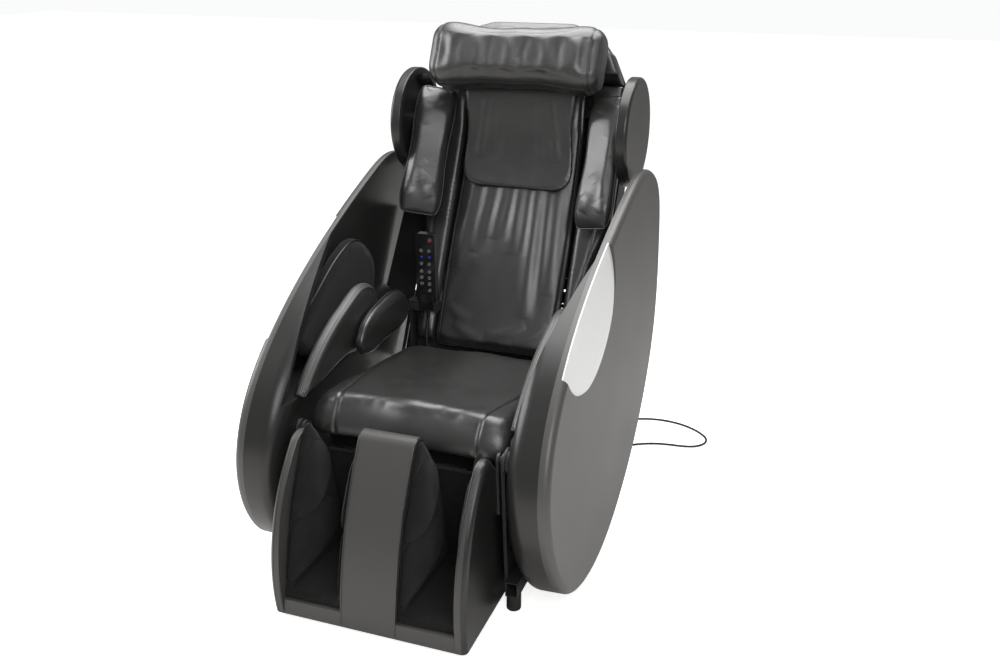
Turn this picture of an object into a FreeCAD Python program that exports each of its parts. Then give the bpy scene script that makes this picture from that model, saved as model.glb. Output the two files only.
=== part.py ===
"""Electric massage chair: two leaf-shaped side housings, seat, reclining back, leg rest.

Frame: millimetres, +Z up, the sitter faces -Y and the sitter's left hand is at +X.
The origin lies on the floor, under the middle of the chair.
"""
import FreeCAD, Part
import math
import os
from FreeCAD import Vector as V

os.makedirs("parts", exist_ok=True)

# Clearances
REST_GAP = 0.3          # soft piece to its seat, and cover to cover
RUN_GAP = 0.05          # radial, pin or shaft in its bore
MOVE_GAP = 6.0          # between bodies that swing past each other

# Side housings, in the upright frame of one housing before it is leant outwards
SIDE_FACE_X = 370.0     # outer face
SIDE_SEAM_X = 345.0     # seam between outer panel and inner trim
SIDE_INNER_X = 262.0    # inner wall of the trim beside the seat
SIDE_LEAN = 4.4         # degrees, the housing's foot leans outwards
PANEL_WALL = 4.0
PANEL_EDGE_R = 16.0
TRIM_WALL = 4.0
TRIM_NOSE_R = 42.0
TRIM_LAP = 5.0          # how far the trim's lip sits inside the panel's edge
TRIM_LIP = 6.0
RIM_WIDTH = 26.0        # rim between the housing's edge and the arm trough
TROUGH_Z = 450.0        # floor of the arm trough
CUP_Y = -410.0          # front cup of the arm trough
CUP_X = 276.0
RIM_END_Y = -60.0       # where the trough's rim has thinned to the seam
LEAF_LOW_FRONT = (-424.0, 84.0)
LEAF_SHIN = (-490.0, 195.0)
LEAF_FRONT = (-509.0, 312.0)
LEAF_SHOULDER = (-462.0, 456.0)
LEAF_INSET_LOW = (-355.0, 571.0)
LEAF_INSET_TOP = (0.0, 771.0)
LEAF_BROW = (200.0, 847.0)
LEAF_CREST = (372.0, 872.0)
LEAF_TIP = (456.0, 822.0)
LEAF_REAR = (466.0, 672.0)
LEAF_WAIST = (396.0, 436.0)
LEAF_LOW_REAR = (250.0, 250.0)
LEAF_HEEL = (20.0, 92.0)
LEAF_SOLE = (-260.0, 22.0)
INSET_DEPTH = 12.0      # recess of the pale leaf at the housing's front edge
INSET_PLATE = 3.0
INSET_SWELL = 165.0     # width of the pale leaf, square to its straight edge

# Pads on the housings
ARM_PAD_X = (246.0, 278.0)
ARM_PAD_Y = (-404.0, 40.0)
ARM_PAD_RISE = 172.0
HIP_PAD_THICK = 31.0
HIP_PAD_Y = (-138.0, 176.0)
HIP_PAD_Z = (438.0, 566.0)
FOREARM_PAD_THICK = 34.0
FOREARM_PAD = ((-298.0, 562.0), (-190.0, 630.0), (-78.0, 690.0), (20.0, 712.0), (100.0, 676.0),
               (156.0, 612.0), (160.0, 548.0), (90.0, 492.0), (-120.0, 470.0), (-262.0, 492.0))

# Base
RAIL_X = 270.0          # centre of each floor rail
RAIL_W = 30.0
RAIL_Y = (-422.0, 372.0)
RAIL_Z = (40.0, 78.0)
TUBE_WALL = 2.5
CROSS_Y = (-238.0, 42.0, 330.0)
CROSS_W = 32.0
FOOT_R = 17.0
FOOT_Y = (-404.0, 285.0)
PLATE_T = 8.0
WHEEL_R = 36.0
WHEEL_W = 24.0
WHEEL_Y = 388.0
WHEEL_X = 214.0
WHEEL_AXLE_R = 6.0

# Seat
SEAT_HALF = 238.0
SEAT_FRONT_Y = -386.0
SEAT_BACK_Y = 150.0
SEAT_FRONT_Z = 456.0
SEAT_SLOPE = 7.0        # degrees, down towards the back
SEAT_THICK = 80.0
SEAT_CROWN = 13.0
SEAT_BOARD_T = 4.0
SEAT_BOARD_HALF = 226.0
SEAT_POST_Y = (-282.0, 88.0)
SEAT_POST_W = 24.0

# Backrest, in its own upright frame at the recline hinge: x, w up, v to the rear
HINGE_Y = 200.0
HINGE_Z = 330.0
BACK_ANGLE = 62.0       # degrees from the floor, upright position
HINGE_PIN_R = 8.0
HINGE_PLATE_X = 250.0   # outer side of the hinge's base plate
BACK_LOW_HALF = 234.0
BACK_MID_HALF = 275.0
BACK_HEAD_HALF = 128.0
BACK_LOW_W = 26.0
BACK_WAIST_W = 300.0
BACK_FULL_W = 390.0
BACK_SHOULDER_W = 790.0
BACK_TOP_W = 948.0
SHELL_WALL = 4.0
SHELL_REAR = 112.0
SHELL_HEAD_REAR = -42.0
SHELL_FRONT = 0.0
BACK_RAIL_X = 196.0
BACK_RAIL_W = 24.0
BACK_RAIL_V = 22.0
BACK_RAIL_TOP = 760.0
CUSHION_HALF = 176.0
CUSHION_FRONT = -56.0
CUSHION_THICK = 34.0
CUSHION_W = (30.0, 792.0)
SURROUND_GAP = 3.0      # between the back cushion and the padded surround
SURROUND_FRONT = -44.0
SURROUND_REAR = -6.0
HEAD_FRONT = -156.0
PILLOW_HALF = 238.0
PILLOW_W = (718.0, 884.0)
PILLOW_V = (-270.0, -160.0)
FLAP_HALF = 155.0
FLAP_LOW_W = 486.0
FLAP_THICK = 9.0
SHOULDER_X = (300.0, 330.0)
SHOULDER_R = 144.0
SHOULDER_W = 655.0
SHOULDER_V = -102.0
SHOULDER_WALL = 4.0
SHOULDER_PAD_W = (378.0, 742.0)
SHOULDER_PAD_X = (196.3, 299.3)
SHOULDER_PAD_V = (-106.0, -150.0)
SHOULDER_PAD_THICK = 46.0

# Massage drive in the backrest
CARRIAGE_W = 250.0      # kneading shaft, lowest position
CARRIAGE_HIGH = 40.0
CARRIAGE_V = 46.0
CARRIAGE_T = 5.0
SLIDE_TUBE_R = 7.0
SLIDE_X = 165.0
SCREW_R = 8.0
SCREW_LOW_W = 52.0
SCREW_HIGH_W = 756.0
KNEAD_SHAFT_R = 9.0
KNEAD_SHAFT_V = 22.0
ARM_X = 62.0
ARM_T = 12.0
ARM_REACH = 62.0
ROLLER_R = 20.0
ROLLER_W = 30.0
ROLLER_AXLE_R = 5.0
ROLLER_V = 11.0

# Recline actuator
ACT_BASE_Y = 42.5
ACT_BASE_Z = 218.1
ACT_CRANK_Y = 265.6
ACT_CRANK_Z = 306.6
ACT_PIN_R = 5.0
ACT_TUBE_R = 17.0
ACT_TUBE_L = 140.0
ACT_ROD_R = 9.0
ACT_EYE_R = 17.0
ACT_EYE_W = 16.0
ACT_PLAY = 4.8          # radial play of the rod's eye on its pin

# Leg rest
LEG_HINGE_Y = -415.0
LEG_HINGE_Z = 385.0
LEG_HALF = 235.0
LEG_COLUMN_HALF = 66.0
LEG_WELL_OUT = 212.0
LEG_SOLE_Z = 46.0
LEG_WALL = 4.0
LEG_FRONT_R = 14.0
LEG_TOE = (-614.0, 10.0)
LEG_COLUMN = (LEG_TOE, (-573.0, 222.0), (-484.0, 414.0), (-432.0, 410.0))
LEG_SIDE = (LEG_TOE, (-598.0, 236.0), (-500.0, 394.0), (-436.0, 388.0))
LEG_BACK_TOP = (-352.0, 296.0)
LEG_HEEL = (-300.0, 30.0)
LEG_HEEL_LOW = (-318.0, 10.0)
LEG_REAR_WALL = 12.0
LINER_T = 10.0
SOLE_PAD_T = 16.0
LEG_PIN_R = 9.0
LEG_PLATE_T = 6.0
MOTOR_GEAR_R = 31.0

# Handset
SET_X = -196.5
SET_Y = (190.0, 212.0)
SET_Z = (471.0, 689.0)
SET_HALF = 28.5
KEY_TRAVEL = 0.6
KEY_R = 5.5
KEY_STAND = 1.5
KEY_COLUMN = 11.5       # key centres, each side of the handset's middle
POWER_KEY_R = 6.5
POWER_KEY_DOWN = 17.0
KEY_ROWS_DOWN = (47.0, 84.0, 106.0, 124.0, 142.0, 160.0)

# Mains lead and handset cord
CORD_D = 6.5
SET_CORD_D = 5.0
COIL_CENTRE = (250.0, 490.0)
COIL_R = 46.0
COIL_PITCH = 7.6
COIL_TURNS = 5
COIL_FOLD = 2.25        # turns wound inwards before the cord starts back outwards on top
COIL_CLIMB = 0.75       # share of a turn in which it climbs to the upper layer
COIL_LAYER = 7.3
CORD_FLOOR_Z = 3.4
COIL_LEAD = 12.0        # straight length into the coil
COIL_EXIT = 40.0        # straight length from the coil to the plug
PLUG_L = 34.0
PLUG_H = 21.0
PLUG_W = 25.0


def wire(points, closed=True):
    """A wire of straight edges through points."""
    loop = list(points) + [points[0]] if closed else list(points)
    return Part.makePolygon(loop)


def smooth_loop(points, x, inset=0.0):
    """A closed spline through (y, z) points, moved inwards by inset, at the plane x."""
    count = len(points)
    ring = []
    for i, (y, z) in enumerate(points):
        before = points[i - 1]
        after = points[(i + 1) % count]
        along = V(0, after[0] - before[0], after[1] - before[1]).normalize()
        normal = V(0, along.z, -along.y)
        ring.append(V(x, y, z) + normal * inset)
    curve = Part.BSplineCurve()
    curve.interpolate(Points=ring, PeriodicFlag=True)
    return Part.Wire([curve.toShape()])


def prism(outline, direction):
    """A solid from a flat closed wire, pushed along direction."""
    return Part.Face(outline).extrude(direction)


def rounded_section(axis, at, a, b, radius):
    """A rounded rectangle square to an axis: a and b are its (low, high) limits."""
    r = radius
    (a0, a1), (b0, b1) = a, b
    k = r * (1 - math.sqrt(0.5))

    def place(p, q):
        if axis == "x":
            return V(at, p, q)
        if axis == "y":
            return V(p, at, q)
        return V(p, q, at)

    corners = (
        ((a1 - r, b0), (a1 - k, b0 + k), (a1, b0 + r)),
        ((a1, b1 - r), (a1 - k, b1 - k), (a1 - r, b1)),
        ((a0 + r, b1), (a0 + k, b1 - k), (a0, b1 - r)),
        ((a0, b0 + r), (a0 + k, b0 + k), (a0 + r, b0)),
    )
    edges = []
    for i, (start, middle, end) in enumerate(corners):
        edges.append(Part.Arc(place(*start), place(*middle), place(*end)).toShape())
        following = corners[(i + 1) % 4][0]
        edges.append(Part.LineSegment(place(*end), place(*following)).toShape())
    return Part.Wire(edges)


def loft(sections, ruled=False):
    """A closed solid through a list of sections."""
    return Part.makeLoft(sections, True, ruled)


def box(x, y, z):
    """A block between (low, high) limits on each axis."""
    return Part.makeBox(x[1] - x[0], y[1] - y[0], z[1] - z[0], V(x[0], y[0], z[0]))


def rod(start, end, radius):
    """A round bar between two points."""
    return Part.makeCylinder(radius, (end - start).Length, start, end - start)


def edges_where(shape, test):
    """The edges of a shape whose middle point passes a test."""
    found = []
    for edge in shape.Edges:
        if test(edge.CenterOfMass, edge):
            found.append(edge)
    return found


def joined(pieces):
    """One solid from pieces that touch or overlap, fused one after another."""
    whole = pieces[0]
    for piece in pieces[1:]:
        whole = whole.fuse(piece)
    return whole


def mirrored(shape):
    """The same shape on the other side of the middle plane."""
    return shape.mirror(V(0, 0, 0), V(1, 0, 0))


def pair(name, shape):
    """Write a shape built at +X as the left-hand piece and its mirror as the right-hand one."""
    save("left_" + name, shape)
    save("right_" + name, mirrored(shape))


def save(name, shape):
    """Write one node."""
    if shape.ShapeType == "Compound" and len(shape.Solids) == 1:
        shape = shape.Solids[0]
    shape.exportStep(f"parts/{name}.step")
    print(name, len(shape.Solids), "solids", "valid" if shape.isValid() else "NOT VALID",
          round(shape.Volume / 1000.0, 1), "cm3")


def lean(shape):
    """Lean a piece of the left housing outwards about its straight front edge."""
    along = V(0, LEAF_INSET_TOP[0] - LEAF_INSET_LOW[0], LEAF_INSET_TOP[1] - LEAF_INSET_LOW[1])
    placed = shape.copy()
    placed.rotate(V(SIDE_FACE_X, *LEAF_INSET_LOW), along, -SIDE_LEAN)
    return placed


def on_back(shape):
    """Put a piece drawn in the backrest's upright frame (x, v, w) at its rest angle."""
    placed = shape.copy()
    placed.rotate(V(0, 0, 0), V(1, 0, 0), -(90.0 - BACK_ANGLE))
    placed.translate(V(0, HINGE_Y, HINGE_Z))
    return placed


# Side housings

LEAF = (LEAF_LOW_FRONT, LEAF_SHIN, LEAF_FRONT, LEAF_SHOULDER, LEAF_INSET_LOW, LEAF_INSET_TOP,
        LEAF_BROW, LEAF_CREST, LEAF_TIP, LEAF_REAR, LEAF_WAIST, LEAF_LOW_REAR, LEAF_HEEL, LEAF_SOLE)


def leaf(x, inset=0.0):
    """The housing's outline at the plane x, drawn in by inset."""
    return smooth_loop(LEAF, x, inset)


def edge_frame():
    """Unit vectors along the housing's straight front edge and square to it, inwards."""
    along = V(0, LEAF_INSET_TOP[0] - LEAF_INSET_LOW[0], LEAF_INSET_TOP[1] - LEAF_INSET_LOW[1])
    along.normalize()
    return along, V(0, along.z, -along.y)


def inset_outline(x, shrink=0.0):
    """The pale leaf: a straight edge closed by one full arc-like side."""
    along, inward = edge_frame()
    start = V(x, *LEAF_INSET_LOW) + along * shrink - inward * 30.0
    end = V(x, *LEAF_INSET_TOP) - along * shrink - inward * 30.0
    span = (end - start).Length
    depth = INSET_SWELL - shrink + 30.0
    low = start + along * span * 0.10 + inward * depth * 0.72
    belly = start + along * span * 0.46 + inward * depth
    high = start + along * span * 0.90 + inward * depth * 0.70
    lower = Part.BSplineCurve()
    lower.interpolate([start, low, belly, high, end])
    return Part.Wire([lower.toShape(), Part.LineSegment(end, start).toShape()])


def inset_recess(shrink, depth_low, depth_high):
    """The wedge under the housing's face that the pale leaf fills, deepest at the front edge."""
    along, inward = edge_frame()
    tool = prism(inset_outline(SIDE_FACE_X - 60.0, shrink), V(80.0, 0, 0))
    edge = V(SIDE_FACE_X, *LEAF_INSET_LOW)
    far = edge + inward * INSET_SWELL
    near = edge - inward * 30.0
    slope = (depth_low - depth_high) / INSET_SWELL
    profile = wire([
        near - V(depth_low + slope * 30.0, 0, 0),
        far - V(depth_high, 0, 0) + inward * 20.0 + V(slope * 20.0, 0, 0),
        far + V(40.0, 0, 0) + inward * 20.0,
        near + V(40.0, 0, 0),
    ])
    wedge = prism(profile, along * 700.0)
    wedge.translate(along * -150.0)
    return tool.common(wedge)


def side_panel():
    """Outer panel: a shallow leaf-shaped shell with a rounded edge and the recess for its leaf."""
    depth = SIDE_FACE_X - SIDE_SEAM_X
    outer = prism(leaf(SIDE_SEAM_X), V(depth, 0, 0))
    outer = outer.makeFillet(PANEL_EDGE_R, edges_where(outer, lambda c, e: c.x > SIDE_FACE_X - 0.1))
    inner = prism(leaf(SIDE_SEAM_X - 1.0, PANEL_WALL), V(depth + 1.0 - PANEL_WALL, 0, 0))
    top = SIDE_FACE_X - PANEL_WALL
    inner = inner.makeFillet(PANEL_EDGE_R - PANEL_WALL, edges_where(inner, lambda c, e: c.x > top - 0.1))
    floor = PANEL_WALL
    along, inward = edge_frame()
    backing = inset_recess(-floor, INSET_DEPTH + floor, floor + 1.5)
    shell = outer.cut(inner.cut(backing))
    return shell.cut(inset_recess(0.0, INSET_DEPTH, 1.5))


def panel_inset():
    """Pale leaf plate that lies in the panel's recess."""
    outer = prism(leaf(SIDE_SEAM_X), V(SIDE_FACE_X - SIDE_SEAM_X, 0, 0))
    slab = inset_recess(REST_GAP, INSET_DEPTH, 1.5)
    above = inset_recess(0.0, INSET_DEPTH, 1.5)
    above.translate(V(INSET_PLATE, 0, 0))
    body = slab.cut(above)
    return body.common(outer)


def rim_cutter():
    """Takes away the trim's thickness above the trough, less and less towards the front cup."""
    along, inward = edge_frame()
    cup = V(CUP_X, CUP_Y, TROUGH_Z)
    end = V(SIDE_SEAM_X, RIM_END_Y, TROUGH_Z)
    reach = (end - cup) * 4.0
    side = V(-400.0, 0, 0)
    flat = wire([cup, cup + reach, cup + reach + side, cup + side])
    tall = prism(flat, V(0, 0, 600.0))
    front = box((0.0, CUP_X), (-700.0, CUP_Y + 1.0), (TROUGH_Z, TROUGH_Z + 600.0))
    return tall.fuse(front)


def inner_trim(side):
    """Inner trim: the rounded front of the housing, the arm trough and its outer wall."""
    block = prism(leaf(SIDE_INNER_X), V(SIDE_SEAM_X - SIDE_INNER_X, 0, 0))
    inner_edge = edges_where(block, lambda c, e: c.x < SIDE_INNER_X + 0.1)
    block = block.makeFillet(TRIM_NOSE_R, inner_edge)
    block = block.cut(rim_cutter())
    lip = prism(leaf(SIDE_SEAM_X, TRIM_LAP), V(TRIM_LIP, 0, 0))
    body = block.fuse(lip)
    trough = prism(leaf(SIDE_INNER_X - 1.0, RIM_WIDTH), V(SIDE_SEAM_X + TRIM_LIP - SIDE_INNER_X - 2.0, 0, 0))
    above = box((0.0, 500.0), (-700.0, 700.0), (TROUGH_Z, 1200.0))
    body = body.cut(trough.common(above))
    hollow = prism(leaf(SIDE_INNER_X + TRIM_WALL, TRIM_NOSE_R * 0.62), V(120.0, 0, 0))
    below = box((0.0, 500.0), (-700.0, 700.0), (-50.0, TROUGH_Z - TRIM_WALL))
    body = body.cut(hollow.common(below))
    leant = lean(body)
    if side < 0:
        return mirrored(leant)
    start = V(SIDE_INNER_X - 30.0, LEG_HINGE_Y, LEG_HINGE_Z)
    return leant.cut(rod(start, start + V(90.0, 0, 0), MOTOR_GEAR_R + 3.0))


def pad_from_loop(points, x_low, x_high, crown):
    """A crowned pad: its outline is full at mid thickness and drawn in at both faces."""
    middle = (x_low + x_high) / 2
    sections = []
    for x, inset in ((x_low, crown * 2.2), (x_low + crown * 0.45, crown * 0.75), (middle, 0.0),
                     (x_high - crown * 0.45, crown * 0.75), (x_high, crown * 2.2)):
        sections.append(smooth_loop(points, x, inset))
    return loft(sections)


def arm_pad():
    """Leather pad along the trough's inner side, rising like a fin towards the back."""
    y0, y1 = ARM_PAD_Y
    low = TROUGH_Z + REST_GAP
    points = ((y0 + 10, low + 4), (y0 + 60, low + 52), (y0 + 150, low + 112),
              (y0 + 260, low + ARM_PAD_RISE - 16), (y0 + 350, low + ARM_PAD_RISE),
              (y1 - 18, low + ARM_PAD_RISE - 46), (y1, low + 70), (y1 - 26, low + 8),
              (y0 + 290, low), (y0 + 140, low))
    pad = pad_from_loop(points, ARM_PAD_X[0], ARM_PAD_X[1], 7.0)
    floor = box((0.0, 500.0), (-700.0, 700.0), (-100.0, low))
    return lean(pad.cut(floor))


def hip_pad():
    """Smaller rounded pad beside the hip, on the arm pad's inner face."""
    y0, y1 = HIP_PAD_Y
    z0, z1 = HIP_PAD_Z
    points = ((y0, z0 + 62), (y0 + 34, z1 - 26), (y0 + 130, z1 - 4), (y0 + 226, z1 - 4),
              (y1 - 26, z1 - 34), (y1, z1 - 96), (y1 - 60, z0 + 4), (y0 + 120, z0 + 6),
              (y0 + 30, z0 + 14))
    x_high = ARM_PAD_X[0] - 2 * REST_GAP
    pad = pad_from_loop(points, x_high - HIP_PAD_THICK, x_high, 7.0)
    return lean(pad)


def forearm_pad():
    """Cloth pad on the trough's outer wall."""
    x_high = SIDE_SEAM_X + TRIM_LIP - 3.0 - REST_GAP
    pad = pad_from_loop(FOREARM_PAD, x_high - FOREARM_PAD_THICK, x_high, 6.0)
    return lean(pad)


# Base

def rect_tube(x, y, z, along):
    """A rectangular steel tube, open along one axis."""
    solid = box(x, y, z)
    t = TUBE_WALL
    if along == "y":
        return solid.cut(box((x[0] + t, x[1] - t), (y[0] - 1, y[1] + 1), (z[0] + t, z[1] - t)))
    return solid.cut(box((x[0] - 1, x[1] + 1), (y[0] + t, y[1] - t), (z[0] + t, z[1] - t)))


def seat_plane_z(y):
    """Height of the seat cushion's underside at y."""
    run = y - SEAT_FRONT_Y
    return SEAT_FRONT_Z - SEAT_THICK - run * math.tan(math.radians(SEAT_SLOPE))


def leg_ear():
    """Upright plate at +X that carries the leg rest's pivot pin."""
    inner_x = RAIL_X - RAIL_W / 2 - PLATE_T
    outline = wire([V(inner_x, LEG_HINGE_Y - 16, LEG_HINGE_Z), V(inner_x, LEG_HINGE_Y + 16, LEG_HINGE_Z + 4),
                    V(inner_x, -330, 200), V(inner_x, -330, RAIL_Z[0]), V(inner_x, -400, RAIL_Z[0])])
    ear = prism(outline, V(PLATE_T, 0, 0))
    boss = rod(V(inner_x, LEG_HINGE_Y, LEG_HINGE_Z), V(inner_x + PLATE_T, LEG_HINGE_Y, LEG_HINGE_Z), 17.0)
    bore = rod(V(inner_x - 1, LEG_HINGE_Y, LEG_HINGE_Z), V(inner_x + PLATE_T + 1, LEG_HINGE_Y, LEG_HINGE_Z),
               LEG_PIN_R + RUN_GAP)
    window = rod(V(inner_x - 1, -365, 150), V(inner_x + PLATE_T + 1, -365, 150), 20.0)
    return ear.fuse(boss).cut(bore).cut(window)


def hinge_upright():
    """Plate at +X that carries the recline pin and the rear of the seat."""
    x0 = HINGE_PLATE_X - PLATE_T
    outline = wire([V(x0, HINGE_Y - 60, RAIL_Z[0]), V(x0, HINGE_Y + 70, RAIL_Z[0]),
                    V(x0, HINGE_Y + 22, HINGE_Z), V(x0, HINGE_Y - 22, HINGE_Z)])
    plate = prism(outline, V(PLATE_T, 0, 0))
    boss = rod(V(x0, HINGE_Y, HINGE_Z), V(x0 + PLATE_T, HINGE_Y, HINGE_Z), 22.0)
    spacer = box((HINGE_PLATE_X, RAIL_X - RAIL_W / 2), (HINGE_Y - 50, HINGE_Y + 60), (RAIL_Z[0], RAIL_Z[1]))
    pin = rod(V(x0 - 26.0, HINGE_Y, HINGE_Z), V(x0, HINGE_Y, HINGE_Z), HINGE_PIN_R)
    window = rod(V(x0 - 1, HINGE_Y + 6, 190), V(HINGE_PLATE_X + 1, HINGE_Y + 6, 190), 26.0)
    return plate.fuse([boss, spacer, pin]).cut(window)


def housing_brackets():
    """Brackets at +X between floor rail and housing, cut to the housing's leaning wall."""
    brackets = []
    wall = lean(box((SIDE_INNER_X - 60.0, SIDE_INNER_X), (-420.0, 420.0), (0.0, 500.0)))
    for y, z in ((-240.0, 100.0), (-80.0, 100.0), (120.0, 130.0)):
        block = box((RAIL_X - RAIL_W / 2, RAIL_X + 60.0), (y, y + 40.0), (RAIL_Z[1] - 3.0, RAIL_Z[1] + 30.0))
        brackets.append(block.common(wall))
    return brackets


def actuator_bracket():
    """Two ears and a pin on the middle cross tube, for the recline actuator's foot."""
    half = ACT_EYE_W / 2 + 1.0
    parts = []
    for side in (-1, 1):
        x = (half, half + 6.0) if side > 0 else (-half - 6.0, -half)
        outline = wire([V(x[0], ACT_BASE_Y - 22, RAIL_Z[0] + 10), V(x[0], ACT_BASE_Y + 22, RAIL_Z[0] + 10),
                        V(x[0], ACT_BASE_Y + 13, ACT_BASE_Z), V(x[0], ACT_BASE_Y - 13, ACT_BASE_Z)])
        ear = prism(outline, V(6.0, 0, 0))
        parts.append(ear)
        parts.append(rod(V(x[0], ACT_BASE_Y, ACT_BASE_Z), V(x[1], ACT_BASE_Y, ACT_BASE_Z), 13.0))
    parts.append(rod(V(-half, ACT_BASE_Y, ACT_BASE_Z), V(half, ACT_BASE_Y, ACT_BASE_Z), ACT_PIN_R))
    return parts


def wheel_axle():
    """Stub axle and its lug at +X behind the rear cross tube."""
    lug = box((WHEEL_X - WHEEL_W / 2 - 10, WHEEL_X - WHEEL_W / 2 - 2),
              (CROSS_Y[2], WHEEL_Y + 14), (WHEEL_R - 14, RAIL_Z[1] - 4))
    axle = rod(V(WHEEL_X - WHEEL_W / 2 - 4, WHEEL_Y, WHEEL_R),
               V(WHEEL_X + WHEEL_W / 2 + 3, WHEEL_Y, WHEEL_R), WHEEL_AXLE_R)
    cap = rod(V(WHEEL_X + WHEEL_W / 2 + 1, WHEEL_Y, WHEEL_R),
              V(WHEEL_X + WHEEL_W / 2 + 4, WHEEL_Y, WHEEL_R), WHEEL_AXLE_R + 4)
    return [lug, axle, cap]


def handset_cradle():
    """Steel stalk and small open cradle that hold the handset beside the right hip."""
    x0 = -HINGE_PLATE_X
    stalk = box((x0, x0 + PLATE_T), (SET_Y[0] + 2, SET_Y[1] - 2), (HINGE_Z - 10, SET_Z[0] + 18))
    outer = box((x0, SET_X + SET_HALF + 3.5), (SET_Y[0] - 3.5, SET_Y[1] + 3.5), (SET_Z[0] - 4, SET_Z[0] + 24))
    room = box((SET_X - SET_HALF - REST_GAP, SET_X + SET_HALF + REST_GAP),
               (SET_Y[0] - REST_GAP, SET_Y[1] + REST_GAP), (SET_Z[0] - REST_GAP, SET_Z[0] + 40))
    window = box((SET_X - SET_HALF + 6, SET_X + SET_HALF - 6), (SET_Y[0] - 10, SET_Y[0] + 2),
                 (SET_Z[0] - 10, SET_Z[0] + 40))
    outlet = rod(V(SET_X, 201, SET_Z[0] - 20), V(SET_X, 201, SET_Z[0] + 5), 7.0)
    return outer.fuse(stalk).cut(room).cut(window).cut(outlet)


def base_frame():
    """Welded base: floor rails, cross tubes, seat posts, hinge plates and brackets."""
    half = RAIL_W / 2
    left = [rect_tube((RAIL_X - half, RAIL_X + half), RAIL_Y, RAIL_Z, "y")]
    left.append(leg_ear())
    left.append(hinge_upright())
    left += housing_brackets()
    left += wheel_axle()
    for y in SEAT_POST_Y:
        top = seat_plane_z(y) - SEAT_BOARD_T
        left.append(box((RAIL_X - half - SEAT_POST_W, RAIL_X - half), (y, y + SEAT_POST_W),
                        (RAIL_Z[0], top - 2.0)))
    pieces = left + [mirrored(piece) for piece in left]
    for y in CROSS_Y:
        pieces.append(rect_tube((-RAIL_X, RAIL_X), (y - CROSS_W / 2, y + CROSS_W / 2), RAIL_Z, "x"))
    pieces += actuator_bracket()
    board = box((-RAIL_X + half + 2.0, RAIL_X - half - 2.0), (-345.0, 140.0), (-SEAT_BOARD_T, 0.0))
    slot = box((-120.0, 120.0), (-200.0, 20.0), (-SEAT_BOARD_T - 1.0, 1.0))
    slot = slot.makeFillet(30.0, edges_where(slot, lambda c, e: abs(c.z + SEAT_BOARD_T / 2) < 1.0))
    board = board.cut(slot)
    board.rotate(V(0, SEAT_FRONT_Y, 0), V(1, 0, 0), -SEAT_SLOPE)
    board.translate(V(0, 0, seat_plane_z(SEAT_FRONT_Y) - REST_GAP))
    pieces.append(board)
    pieces.append(handset_cradle())
    return joined(pieces)


def base_feet():
    """Four rubber feet under the floor rails."""
    feet = []
    for side in (-1, 1):
        for y in FOOT_Y:
            foot = rod(V(side * RAIL_X, y, 0), V(side * RAIL_X, y, RAIL_Z[0]), FOOT_R)
            foot = foot.makeFillet(4.0, edges_where(foot, lambda c, e: c.z < 0.1))
            feet.append(foot)
    return Part.makeCompound(feet)


def wheel(side):
    """Transport wheel with a tyre groove and a dished hub."""
    a = WHEEL_X - WHEEL_W / 2
    b = WHEEL_X + WHEEL_W / 2
    bore = WHEEL_AXLE_R + RUN_GAP
    profile = wire([V(a, 0, bore), V(a, 0, 14), V(a + 6, 0, 17), V(a + 6, 0, 25), V(a, 0, 28),
                    V(a, 0, WHEEL_R - 4), V(a + 4, 0, WHEEL_R), V(b - 4, 0, WHEEL_R), V(b, 0, WHEEL_R - 4),
                    V(b, 0, 28), V(b - 6, 0, 25), V(b - 6, 0, 17), V(b, 0, 14), V(b, 0, bore)])
    solid = Part.Face(profile).revolve(V(0, 0, 0), V(1, 0, 0), 360)
    solid.translate(V(0, WHEEL_Y, WHEEL_R))
    return solid if side > 0 else mirrored(solid)


def seat_cushion():
    """Seat: flat below, crowned above, a full rounded front and drawn-in sides."""
    sections = []
    length = SEAT_BACK_Y - SEAT_FRONT_Y
    for x, inset in ((-1.0, 15.0), (-0.93, 5.0), (-0.6, 1.0), (0.0, 0.0), (0.6, 1.0), (0.93, 5.0), (1.0, 15.0)):
        top = SEAT_THICK - SEAT_CROWN * x * x - inset * 0.8
        low = inset * 0.25
        front = -6.0 + inset
        back = length - inset * 0.6
        at = x * SEAT_HALF
        points = [V(at, back, low), V(at, front + 10, low), V(at, front, low + 14),
                  V(at, front + 4, top * 0.62), V(at, front + 46, top), V(at, length * 0.5, top - 3),
                  V(at, back - 12, top - 6), V(at, back, top * 0.55)]
        edges = [
            Part.LineSegment(points[0], points[1]).toShape(),
            Part.LineSegment(points[1], points[2]).toShape(),
            Part.Arc(points[2], points[3], points[4]).toShape(),
            Part.Arc(points[4], points[5], points[6]).toShape(),
            Part.LineSegment(points[6], points[7]).toShape(),
            Part.LineSegment(points[7], points[0]).toShape(),
        ]
        sections.append(Part.Wire(edges))
    cushion = loft(sections)
    cushion = cushion.cut(box((-300.0, 300.0), (-100.0, 700.0), (-50.0, 0.0)))
    cushion.rotate(V(0, 0, 0), V(1, 0, 0), -SEAT_SLOPE)
    cushion.translate(V(0, SEAT_FRONT_Y, seat_plane_z(SEAT_FRONT_Y)))
    return cushion


def control_box():
    """Electronics box on the floor rails' rear cross tube, with cooling slots."""
    body = box((-150.0, -20.0), (150.0, 290.0), (RAIL_Z[1] + REST_GAP, RAIL_Z[1] + 58.0))
    body = body.makeFillet(5.0, edges_where(body, lambda c, e: c.z > RAIL_Z[1] + 57.9))
    for i in range(6):
        y = 175.0 + i * 16.0
        body = body.cut(box((-130.0, -40.0), (y, y + 6.0), (RAIL_Z[1] + 55.0, RAIL_Z[1] + 60.0)))
    plate = box((-160.0, -10.0), (150.0, 290.0), (RAIL_Z[1] - 2.0, RAIL_Z[1] + REST_GAP))
    shelf = box((-160.0, -10.0), (290.0, CROSS_Y[2]), (RAIL_Z[1], RAIL_Z[1] + 2.0))
    return body.fuse([plate, shelf])


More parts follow.
